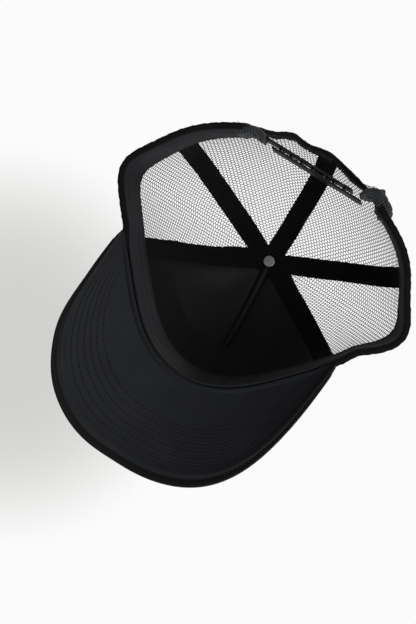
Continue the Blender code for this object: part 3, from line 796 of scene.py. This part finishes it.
def tape(name, angle, low, high, look, wander):
    """A seam tape: slightly crowned over the seam allowance, its edges a little uneven."""
    rows, cols = 260, 15
    offsets, runs = np.meshgrid(np.linspace(-1, 1, cols), np.linspace(low, high, rows))
    fray = np.random.default_rng(len(name)).normal(0.0, 0.13 * MM, (rows, cols))
    across = offsets * TAPE_WIDTH / 2 + tape_wave(runs, wander) + fray * np.abs(offsets) ** 8
    turn = across / np.maximum(crown.level_radius(angle, runs), 2.0 * MM)
    full = crown.full_run(angle)
    run = runs + (crown.full_run(angle + turn) - full) * (runs / full) ** 3
    run = np.minimum(run, crown.full_run(angle + turn) - 0.4 * MM)
    ridge = 0.45 * MM * np.exp(-((offsets * TAPE_WIDTH / 2 / (2.2 * MM)) ** 2))
    edge = 0.25 * MM * np.abs(offsets) ** 6
    outer = crown.point(angle + turn, run, TAPE_IN - 0.1 * MM)
    inner = crown.point(angle + turn, run, TAPE_OUT + ridge - edge)
    return slab(name, outer, inner, look, np.stack([across, run], axis=2))


def tape_rows(angle, low, high, wander):
    """The two stitch rows of a tape, close to its edges."""
    runs = np.linspace(low, high, 160)
    level = np.maximum(crown.level_radius(angle, runs), 2.0 * MM)
    lines = []
    for side in (-1, 1):
        turn = angle + (side * (TAPE_WIDTH / 2 - 2.0 * MM) + tape_wave(runs, wander)) / level
        lines.append(crown_row(turn, runs, TAPE_OUT + 0.1 * MM))
    return lines


def seam_tapes(look, thread):
    """One tape over each seam, and all their stitch rows as one piece."""
    made, lines = [], []
    plan = (
        ("front_left", FRONT_SEAM, 1 * MM),
        ("side_left", SIDE_SEAM, 12 * MM),
        ("back", BACK, ARCH_HEIGHT + 2 * MM),
        ("side_right", -SIDE_SEAM, 12 * MM),
        ("front_right", -FRONT_SEAM, 1 * MM),
    )
    for seam, angle, low in plan:
        wander = 0.35 * MM if seam == "front_left" else 0.12 * MM
        high, last_stitch = (crown.top_run(angle, radius)[0] for radius in (1.2 * MM, 9 * MM))
        made.append(tape("tape_" + seam + "_cloth", angle, low, high, look, wander))
        lines += tape_rows(angle, low + 1 * MM, last_stitch, wander)
    made.append(stitches("tape_stitches", lines, thread, length=2.4 * MM, radius=0.2 * MM))
    return made


def sweatband(look, thread):
    """The sweatband: a folded strip, padded between its stitch rows, with a rolled upper edge."""
    end = BACK - arch_angle(ARCH_HALF + 3 * MM)
    section = np.array([band_section(s) for s in np.linspace(0, 1, 54, endpoint=False)])
    angle, run = np.meshgrid(np.linspace(-end, end, 420), section[:, 0], indexing="ij")
    rib = 0.10 * MM * np.sin(run / (1.45 * MM)) * np.sin(angle * 3.0 + 2.0)
    gather = np.sin(angle * 11 + 2 * np.sin(angle * 3))
    slack = 0.45 * MM * gather * np.sin(np.clip(run / BAND_HEIGHT, 0, 1) * math.pi)
    depth = section[:, 1] + section[:, 2] * (rib + slack)
    uv = np.stack([angle * RIM_REACH, run], axis=2)
    made = tube_sweep("sweatband_soft", crown.point(angle, run, depth), look, uv)
    angle = np.linspace(-end + 0.02, end - 0.02, 500)
    places = ((4.6 * MM, BAND_OUT - 0.5 * MM), (7.9 * MM, BAND_OUT - 0.45 * MM))
    lines = [crown_row(angle, height, depth) for height, depth in places]
    rows = stitches("sweatband_stitches", lines, thread, length=2.2 * MM, gap=1.4 * MM, radius=0.22 * MM)
    return made, rows


def band_section(s):
    """Outline of the sweatband's section: (run, depth, how far the face is free to move)."""
    bottom, top = 0.3 * MM, BAND_HEIGHT
    back, face = BAND_IN, BAND_OUT
    roll = (face - back) / 2
    if s < 0.40:
        k = s / 0.40
        run = bottom + roll + (top - bottom - 2 * roll) * k
        creases = (4.3 * MM, 7.6 * MM, top - bottom - 4.0 * MM)
        from_row = min(abs(run - bottom - crease) for crease in creases)
        dip = 0.85 * MM * math.exp(-((from_row / (0.75 * MM)) ** 2))
        return run, face - dip + 0.5 * MM * math.sin(math.pi * k), 1.0
    if s < 0.52:
        turn = (s - 0.40) / 0.12 * math.pi
        return top - roll + roll * 1.1 * math.sin(turn), (face + back) / 2 + roll * math.cos(turn), 0.6
    if s < 0.88:
        k = (s - 0.52) / 0.36
        return top - roll + (bottom + 2 * roll - top) * k, back, 0.0
    turn = (s - 0.88) / 0.12 * math.pi
    return bottom + roll - roll * math.sin(turn), (face + back) / 2 - roll * math.cos(turn), 0.0


def mesh_hems(look):
    """The mesh's folded lower edge: a soft roll at the rim that reaches up behind the sweatband."""
    made = []
    start = FRONT_SEAM - 0.04
    end = BACK - arch_angle(ARCH_HALF + 1 * MM)
    outline = np.array([hem_outline(s) for s in np.linspace(0, 1, 22, endpoint=False)])
    for side, word in SIDES:
        angle, run = np.meshgrid(side * np.linspace(start, end, 220), outline[:, 0], indexing="ij")
        wobble = 0.14 * MM * np.sin(angle * 83) + 0.10 * MM * np.sin(angle * 151 + 1)
        depth = outline[:, 1] + wobble * np.clip(1 - run / (6 * MM), 0, 1)
        uv = np.stack([angle * RIM_REACH, run], axis=2)
        made.append(tube_sweep("mesh_hem_fold_" + word, crown.point(angle, run, depth), look, uv))
    return made


def hem_outline(s):
    """Section of the hem: (run, depth), up the outside, over, and down the inside."""
    low, high = HEM_ROLL - 0.4 * MM, HEM_HEIGHT
    outer, inner = 0.9 * MM, 3.0 * MM
    fold_outer, fold_inner = -0.3 * MM, 4.2 * MM
    if s < 0.3:
        k = s / 0.3
        return low + (high - low) * k, fold_outer + (outer - fold_outer) * min(1.0, k * 3)
    if s < 0.4:
        return high, outer + (inner - outer) * (s - 0.3) / 0.1
    if s < 0.7:
        k = (s - 0.4) / 0.3
        return high - (high - low) * k, inner + (fold_inner - inner) * max(0.0, k * 3 - 2)
    turn = (s - 0.7) / 0.3 * math.pi
    middle, half = (fold_outer + fold_inner) / 2, (fold_inner - fold_outer) / 2
    return low - HEM_ROLL * math.sin(turn), middle + half * math.cos(turn)


def arch_binding(look, thread):
    """The bound edge of the back opening: a soft folded tape with a stitch row inside and out."""
    count, sides = 280, 26
    turn = np.linspace(0.0, math.pi, count)[:, None]
    fray = np.random.default_rng(11).normal(0.0, 0.11 * MM, (count, 2, sides))
    grow, depth = np.array([binding_outline(k / sides) for k in range(sides)]).T
    foot = 1.0 - 0.75 * np.exp(-((np.sin(turn) / 0.10) ** 2))
    wander = 0.6 * np.sin(turn * 17.0) + 0.4 * np.sin(turn * 41.0 + 2.0)
    lump = 1.0 + 0.14 * np.sin(turn * 13.0 + 1.0) + 0.08 * np.sin(turn * 37.0)
    depth = (CLOTH / 2 + (depth - CLOTH / 2) * foot) * lump + fray[:, 1]
    grow = grow * (0.4 + 0.6 * foot + wander * MM / ARCH_BINDING) + fray[:, 0]
    angle, run = arch_place(turn, grow)
    made = tube_sweep("back_arch_binding_cloth", crown.point(angle, run, depth), look)
    angle, run = arch_place(turn[3:-3, 0], ARCH_STITCH)
    lines = [crown_row(angle, run, 2.35 * MM), crown_row(angle, run, -1.25 * MM, -1)]
    return made, stitches("arch_stitches", lines, thread, length=2.2 * MM)


def arch_place(turn, grow):
    """Angle and run of a place this far round the back opening and this far out from its edge."""
    across = (ARCH_HALF + grow) * np.cos(turn)
    run = np.maximum((ARCH_HEIGHT + grow) * np.sin(turn), 0.0) + 0.4 * MM
    return BACK - arch_angle(across), run


def binding_outline(s):
    """Outline of the binding tape's section: (distance from the opening's edge, depth)."""
    inner, outer = 2.3 * MM, -1.2 * MM
    half, middle = (inner - outer) / 2, (inner + outer) / 2
    near, far = half - 1.1 * MM, ARCH_BINDING - 1.2 * MM
    if s < 0.36:
        grow = near + (far - near) * s / 0.36
        return grow, inner - 0.35 * MM * math.exp(-(((grow - ARCH_STITCH) / (0.8 * MM)) ** 2))
    if s < 0.5:
        return far, inner - 0.5 * MM - (inner - outer - 1.0 * MM) * (s - 0.36) / 0.14
    if s < 0.86:
        return far - (far - near) * (s - 0.5) / 0.36, outer
    turn = (s - 0.86) / 0.14 * math.pi
    return near - half * math.sin(turn), middle - half * math.cos(turn)


# ---------------------------------------------------------------- visor


def seam_front():
    return -float(rim_radius(0.0))


def visor_edge(u):
    """Outer edge of the visor in plan, for u from -1 at the right corner to 1 at the left one."""
    corner_y = -float(rim_radius(VISOR_CORNER)) * math.cos(VISOR_CORNER)
    turn = u * math.pi / 2
    reach = np.abs(np.sin(turn)) ** (2 / VISOR_POWER)
    x = (VISOR_HALF - VISOR_TUCK * reach**8) * np.sign(turn) * reach
    front = -FRONT_RADIUS - VISOR_LENGTH
    y = corner_y + (front - corner_y) * np.abs(np.cos(turn)) ** (2 / VISOR_POWER)
    return x + LEFT_SWELL * hump(u, 0.72, 0.13), y - FRONT_SWELL * hump(u, 0.05, 0.20)


def visor_seam(u):
    angle = u * VISOR_CORNER
    reach = rim_radius(angle) + VISOR_CLEAR
    return reach * np.sin(angle), -reach * np.cos(angle)


def visor_width(u):
    (sx, sy), (ex, ey) = visor_seam(u), visor_edge(u)
    return np.hypot(sx - ex, sy - ey)


def visor_point(u, v, height=0.0):
    """A place on the visor: v goes from the seam to the edge, height is off its middle sheet."""
    u, v, height = np.broadcast_arrays(np.asarray(u, float), np.asarray(v, float), np.asarray(height, float))
    (sx, sy), (ex, ey) = visor_seam(u), visor_edge(u)
    x = sx * (1 - v) + ex * v
    y = sy * (1 - v) + ey * v
    level = VISOR_SLOPE * (y - seam_front()) - VISOR_ARCH * x * x
    steep = np.sqrt(1 + VISOR_SLOPE**2 + (2 * VISOR_ARCH * x) ** 2)
    return np.stack([x, y, VISOR_LIFT + level + height * steep], axis=-1)


def visor_normal(u, v):
    across = 2 * VISOR_ARCH * visor_point(u, v)[..., 0]
    level = np.ones_like(across)
    return unit(np.stack([across, -VISOR_SLOPE * level, level], axis=-1))


def visor_row(u, v, height, side):
    """A stitch row's path and its outward normals on the visor's upper or under face."""
    return visor_point(u, v, side * height), side * visor_normal(u, v)


def visor_us(count, tip=0.985):
    """Places along the visor, closer together towards its corners."""
    return tip * np.sin(np.linspace(-1, 1, count) * math.pi / 2)


def groove(distance):
    """How deep the quilted stitch rows press into the cloth at this distance from the edge."""
    return sum(hump(distance, FIRST_ROW + k * ROW_PITCH, 0.55 * MM) for k in range(STITCH_ROWS))


def visor_cloth(name, side, look):
    """Upper or under cloth of the visor, pressed in along its stitch rows."""
    v, u = np.meshgrid(np.linspace(0.0, 1.0, 190), visor_us(260), indexing="ij")
    width = visor_width(u)
    last = 1.0 - np.minimum(1.4 * MM / width, 0.3)
    first = -np.minimum(2.2 * MM / width, 0.3)
    v = first + v * (last - first)
    distance = (1.0 - v) * width
    quilted = (distance < FIRST_ROW + 26 * MM) & (distance > FIRST_ROW - 2 * MM)
    puff = 0.16 * MM * np.sin(distance / ROW_PITCH * 2 * math.pi + 0.6) * quilted
    crest = 1.4 * MM * np.exp(-(((distance - 9.0 * MM) / (2.5 * MM)) ** 2))
    face = 1.75 * MM - groove(distance) * 0.6 * MM + crest + puff
    outer, inner = (visor_point(u, v, side * height) for height in (face, 0.95 * MM))
    return slab(name, outer, inner, look, np.stack([u * 0.11, distance], axis=2))


def visor_rows(side):
    """The visor's stitch rows, each parallel to the outer edge, where the visor is wide enough."""
    lines = []
    for k in range(STITCH_ROWS):
        distance = FIRST_ROW + k * ROW_PITCH
        us = visor_us(600)
        us = us[visor_width(us) > distance + 2.5 * MM]
        v = 1.0 - distance / visor_width(us)
        lines.append(visor_row(us, v, 1.42 * MM, side))
    return lines


def visor_binding(look, thread):
    """The tape folded around the visor's edge: a full rounded lip with a stitch row."""
    us, sides = visor_us(240, 0.99), 24
    width = np.maximum(visor_width(us), EDGE_WIDTH + 1.1 * MM)
    inward, height = np.array([edge_outline(k / sides) for k in range(sides)]).T
    v = 1.0 - np.minimum(inward, EDGE_WIDTH) / width[:, None]
    made = tube_sweep("visor_edge_binding", visor_point(us[:, None], v, height), look)
    v = 1.0 - EDGE_STITCH / width
    lines = [visor_row(us, v, 2.25 * MM, side) for side in (-1, 1)]
    return made, stitches("visor_binding_stitches", lines, thread, length=2.3 * MM)


def edge_outline(s):
    """Section of the visor's binding: (distance in from the edge, height from the mid-plane)."""
    far, half = EDGE_WIDTH, EDGE_HALF
    if s < 0.33:
        inward = EDGE_ROUND + (far - EDGE_ROUND) * s / 0.33
        return inward, half - edge_dip(inward)
    if s < 0.42:
        return far + 0.05 * MM, half - (s - 0.33) / 0.09 * 2 * half
    if s < 0.72:
        inward = far - (far - EDGE_ROUND) * (s - 0.42) / 0.30
        return inward, edge_dip(inward) - half
    turn = (s - 0.72) / 0.28 * math.pi
    return EDGE_ROUND - EDGE_ROUND * math.sin(turn), -half * math.cos(turn)


def edge_dip(inward):
    """How deep the binding's stitch row pulls it in."""
    return 0.3 * MM * math.exp(-(((inward - EDGE_STITCH) / (0.6 * MM)) ** 2))


def visor_seam_roll(look):
    """The turned-up seam where the visor meets the sweatband."""
    angle = visor_us(220, 0.99)[:, None] * VISOR_CORNER
    turn = 2 * math.pi * np.arange(12) / 12
    reach = rim_radius(angle) - 0.6 * MM + 1.9 * MM * np.cos(turn)
    height = 0.1 * MM + 0.9 * MM * np.sin(turn)
    grid = np.broadcast_arrays(reach * np.sin(angle), -reach * np.cos(angle), height)
    return tube_sweep("visor_seam_roll", np.stack(grid, axis=2), look)


# ---------------------------------------------------------------- button, tabs and closure


def lathe(name, outline, look, steps=56, bump=None):
    """A body of revolution about the crown's top, from axis to axis."""
    points, faces, rings = [], [], []
    for radius, height in outline:
        if radius < 1e-7:
            rings.append([len(points)])
            points.append((0.0, APEX_SHIFT, height))
            continue
        rings.append(list(range(len(points), len(points) + steps)))
        for s in range(steps):
            turn = 2 * math.pi * s / steps
            r = radius + (bump(turn, height) if bump else 0.0)
            points.append((r * math.cos(turn), APEX_SHIFT + r * math.sin(turn), height))
    for low, high in zip(rings, rings[1:]):
        for s in range(steps):
            t = (s + 1) % steps
            if len(low) == 1:
                faces.append((low[0], high[s], high[t]))
            elif len(high) == 1:
                faces.append((low[s], low[t], high[0]))
            else:
                faces.append((low[s], low[t], high[t], high[s]))
    points = np.array(points)
    made = new_object(name, points + np.array([*TOP_DRIFT, 0.0]), faces, look, points[:, :2])
    fix_normals(made)
    return made


def dome(radius, height, base, steps, power=1.0):
    """Outline of a dome, from its foot to just short of its top."""
    turns = [k / steps * math.pi / 2 for k in range(steps)]
    return [(radius * math.cos(turn) ** power, base + height * math.sin(turn)) for turn in turns]


def button_pieces(cloth, steel):
    seat = CROWN_HEIGHT + 0.3 * MM

    def gathered(turn, height):
        """Small pleats where the cloth is drawn under the button."""
        return 0.10 * MM * math.sin(turn * 18) * max(0.0, 1 - (height - seat) / (2 * MM))

    cover = [(0.0, seat + 0.2 * MM), (5.5 * MM, seat + 0.2 * MM), (7.2 * MM, seat - 0.1 * MM)]
    cover += dome(7.9 * MM, 4.3 * MM, seat + 0.3 * MM, 16, 0.85) + [(0.0, seat + 4.6 * MM)]
    made = [lathe("button_cover_cloth", cover, cloth, bump=gathered)]
    shell = [(0.0, seat + 0.6 * MM), (6.6 * MM, seat + 0.6 * MM)]
    shell += dome(6.9 * MM, 3.3 * MM, seat + 0.8 * MM, 12) + [(0.0, seat + 4.1 * MM)]
    made.append(lathe("button_shell_cup", shell, steel))
    low, face = CROWN_HEIGHT - TAPE_OUT - 1.1 * MM, 3.4 * MM
    disc = [(face * k / 9, low - 0.52 * MM + 0.08 * MM * (k / 9) ** 2) for k in range(9)]
    disc += [(face, low - 0.42 * MM), (3.6 * MM, low - 0.50 * MM), (3.95 * MM, low - 0.42 * MM)]
    disc += [(4.15 * MM, low - 0.1 * MM), (4.15 * MM, low + 0.15 * MM), (3.9 * MM, low + 0.35 * MM)]
    disc += [(1.5 * MM, low + 0.4 * MM), (1.5 * MM, seat + 1 * MM), (0.0, seat + 1 * MM)]
    made.append(lathe("button_rivet_disc", disc, steel))
    return made


def strap_tab(side, word, look):
    """Woven tape knotted around the strap's root: a plump roll over the rim, from sweatband to strap."""
    strap, body, over_band, stand_out, half_thick, root_out = TABS[word]
    root = max(side * corner.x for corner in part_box(strap)) - 2.5 * MM
    joint = next(j for j in frame["joints"] if j["child"] == body)
    pivot = STAND.inverted() @ Vector(joint["pos_m"])
    count, sides = 60, 40
    turn = 2 * math.pi * np.arange(sides) / sides
    sections = []
    for t, x in zip(np.linspace(0, 1, count), np.linspace(ARCH_HALF + over_band, root, count)):
        angle = side * (BACK - arch_angle(x))
        ease = min(1.0, max(0.0, (t - 0.40) / 0.60))
        to_strap = ease * ease * (3 - 2 * ease)
        swell = 1.0 - abs(2 * t - 1) ** 3
        inward = crown.normal(angle, 8.5 * MM)
        centre = crown.point(angle, 8.5 * MM, 2.3 * MM) - inward * stand_out * swell
        centre = centre * (1 - to_strap) + np.array([side * x, pivot.y + root_out, centre[2]]) * to_strap
        closed = min(1.0, 0.30 + 5.0 * t) ** 0.5
        lumps = 0.80 + 0.20 * swell + 0.07 * math.sin(t * 21)
        thick = half_thick * lumps * closed * min(1.0, 4.6 - 4 * t) ** 0.5
        height = (8.4 + 1.6 * swell + 0.4 * math.sin(t * 13 + 1)) * MM * (0.75 + 0.25 * closed)
        folds = 1.0 + 0.13 * np.sin(2 * turn + 10 * t) + 0.10 * np.sin(5 * turn - 17 * t)
        push = thick * folds * np.sign(np.cos(turn)) * np.abs(np.cos(turn)) ** 0.8
        place = centre[None, :] - inward[None, :] * push[:, None]
        place[:, 2] = TAB_MIDDLE + height * np.sign(np.sin(turn)) * np.abs(np.sin(turn)) ** 0.6
        sections.append(place)
    return tube_sweep("strap_tab_" + word + "_webbing", sections, look)


# ---------------------------------------------------------------- put together


def keep_cad(node, look, bevel=None):
    """A CAD node that stays, with a better material and softened edges."""
    kept = frame["nodes"][node]
    for place in kept.material_slots:
        place.material = look
    if not kept.material_slots:
        kept.data.materials.append(look)
    if bevel:
        soft = kept.modifiers.new("edge", "BEVEL")
        soft.width = bevel
        soft.segments = 2
        soft.limit_method = "ANGLE"
        soft.angle_limit = math.radians(50)


def settle(piece, slot, *nodes):
    """A finished piece rides on the cap and stands for CAD nodes; the slot is not used."""
    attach(piece, "cap")
    if nodes:
        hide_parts(*nodes)


def build_cap():
    crown_cloth = twill_cloth("crown_twill", (0.0050, 0.0050, 0.0058), (0.012, 0.012, 0.0135))
    visor_twill = twill_cloth("visor_twill", (0.0066, 0.0071, 0.0084), (0.0165, 0.0175, 0.020), 0.75)
    band_twill = twill_cloth("band_twill", (0.0055, 0.006, 0.007), (0.012, 0.013, 0.0155), turn=0.6)
    edge_twill = twill_cloth("edge_twill", (0.0016, 0.0016, 0.0020), (0.0048, 0.0048, 0.0056), turn=0.75)
    hem_cloth = woven_tape("hem_cloth", (0.0025, 0.0025, 0.003), (0.010, 0.010, 0.011))
    dark, light = (0.0005, 0.0005, 0.0007), (0.0048, 0.0048, 0.0056)
    tape_look = woven_tape("tape_weave", dark, light, 1.1 * MM, 1.5 * MM)
    dark, light = (0.006, 0.0065, 0.0075), (0.075, 0.080, 0.085)
    webbing = woven_tape("tab_weave", dark, light, 0.8 * MM, 1.0 * MM, sheen=0.12)
    lining = lining_cloth("front_lining")
    net = mesh_thread("mesh_thread")
    plastic = moulded_plastic("strap_plastic_look")
    steel = satin_steel("satin_steel")
    thread = thread_look("black_thread", (0.0025, 0.0025, 0.003))

    settle(front_panel(crown_cloth), "crown_cloth", "front_panel")
    foam = foam_lining(lining)
    settle(foam, "foam_lining", "front_foam_lining")
    fold, fold_rows = dart_piece(lining, thread)
    settle(fold, "seam_tape", "front_dart_seam")
    settle(fold_rows, "seam_tape")

    for piece, place in zip(mesh_panels(net), ("side_left", "back_left", "side_right", "back_right")):
        settle(piece, "mesh", "mesh_" + place)

    *tapes, tape_threads = seam_tapes(tape_look, thread)
    for piece, place in zip(tapes, ("front_left", "side_left", "back", "side_right", "front_right")):
        settle(piece, "seam_tape", "tape_" + place)
    settle(tape_threads, "seam_tape")

    band, band_rows = sweatband(band_twill, thread)
    settle(band, "sweatband_cloth", "sweatband")
    settle(band_rows, "sweatband_cloth")

    for piece, (_, word) in zip(mesh_hems(hem_cloth), SIDES):
        settle(piece, "mesh", "mesh_hem_" + word)

    arch, arch_rows = arch_binding(edge_twill, thread)
    settle(arch, "binding_cloth", "back_arch_binding")
    settle(arch_rows, "binding_cloth")

    settle(visor_cloth("visor_top_cloth", 1, visor_twill), "visor_cloth", "visor_top_fabric")
    settle(visor_cloth("visor_under_cloth", -1, visor_twill), "visor_cloth", "visor_under_fabric")
    lines = visor_rows(1) + visor_rows(-1)
    quilting = stitches("visor_stitches", lines, thread, length=2.6 * MM, radius=0.22 * MM, lift=0.0)
    settle(quilting, "visor_cloth")
    lip, lip_rows = visor_binding(edge_twill, thread)
    settle(lip, "binding_cloth", "visor_binding")
    settle(lip_rows, "binding_cloth")
    settle(visor_seam_roll(band_twill), "binding_cloth")

    cover, shell, disc = button_pieces(crown_cloth, steel)
    settle(shell, "rivet_steel", "button_shell")
    settle(cover, "crown_cloth", "button_cover")
    settle(disc, "rivet_steel", "button_rivet")

    for side, word in SIDES:
        settle(strap_tab(side, word, webbing), "tab_webbing", "strap_tab_" + word)

    keep_cad("snap_strap_holes", plastic, 0.2 * MM)
    keep_cad("snap_strap_pegs", plastic, 0.2 * MM)
    keep_cad("visor_board", plastic)


# ---------------------------------------------------------------- stage, light and camera


def world_light():
    """White surroundings for the eye with a painted shadow, darker about one direction, and a dimmer, even light
    from all sides for the cap.
    """
    world = bpy.data.worlds.new("studio")
    bpy.context.scene.world = world
    world.use_nodes = True
    tree = world.node_tree
    toward = add_node(tree, "ShaderNodeTexCoord").outputs["Generated"]
    # painted shadow: the backdrop the camera sees turns to SKY_SHADE about this direction, where the cap's shadow
    # would fall
    middle = Vector(SHADE_TOWARD).normalized()
    facing = add_node(tree, "ShaderNodeVectorMath", {0: toward, 1: middle}, operation="DOT_PRODUCT")
    ramp = {0: facing.outputs["Value"], 1: SHADE_START, 2: 1.0, 3: 0.0, 4: 1.0}
    shade = add_node(tree, "ShaderNodeMapRange", ramp, interpolation_type="SMOOTHSTEP")
    tints = {0: shade.outputs[0], 6: SKY, 7: SKY_SHADE}
    seen = tree.nodes["Background"]
    tree.links.new(add_node(tree, "ShaderNodeMix", tints, data_type="RGBA").outputs[2], seen.inputs["Color"])
    fill = add_node(tree, "ShaderNodeBackground", {"Color": FILL_COLOUR, "Strength": FILL_STRENGTH})
    ray = add_node(tree, "ShaderNodeLightPath").outputs["Is Camera Ray"]
    both = add_node(tree, "ShaderNodeMixShader", {0: ray, 1: fill.outputs[0], 2: seen.outputs[0]})
    tree.links.new(both.outputs[0], tree.nodes["World Output"].inputs["Surface"])


def area_light(name, place, target_height, size, power):
    data = bpy.data.lights.new(name, "AREA")
    data.shape = "SQUARE"
    data.size = size
    data.energy = power
    lamp = link_object(name, data)
    lamp.location = place
    lamp.rotation_mode = "QUATERNION"
    lamp.rotation_quaternion = (Vector((0, 0, target_height)) - Vector(place)).to_track_quat("-Z", "Y")


def stage():
    """The pale floor and the lamps."""
    mesh = bpy.data.meshes.new("floor")
    corners = [(x * FLOOR_HALF, y * FLOOR_HALF, -FLOOR_DROP) for x, y in ((-1, -1), (1, -1), (1, 1), (-1, 1))]
    mesh.from_pydata(corners, [], [(0, 1, 2, 3)])
    mesh.materials.append(floor_look("pale_floor"))
    floor = link_object("floor", mesh)
    floor.visible_shadow = False
    floor.visible_diffuse = False
    floor.visible_glossy = False
    for lamp in LAMPS:
        area_light(*lamp)


def camera():
    data = bpy.data.cameras.new("camera")
    data.sensor_width = SENSOR
    data.lens = FOCAL_SHARE * SENSOR
    data.clip_start = 0.05
    data.clip_end = 50.0
    made = link_object("camera", data)
    right = Vector(CAMERA_RIGHT).normalized()
    ahead = Vector(CAMERA_AHEAD).normalized()
    up = right.cross(ahead).normalized()
    turn = Matrix((ahead.cross(up), up, -ahead)).transposed()
    made.matrix_world = Matrix.Translation(CAMERA_PLACE) @ turn.to_4x4()
    bpy.context.scene.camera = made


bpy.context.scene.view_settings.view_transform = "Standard"
camera()
world_light()
stage()
build_cap()
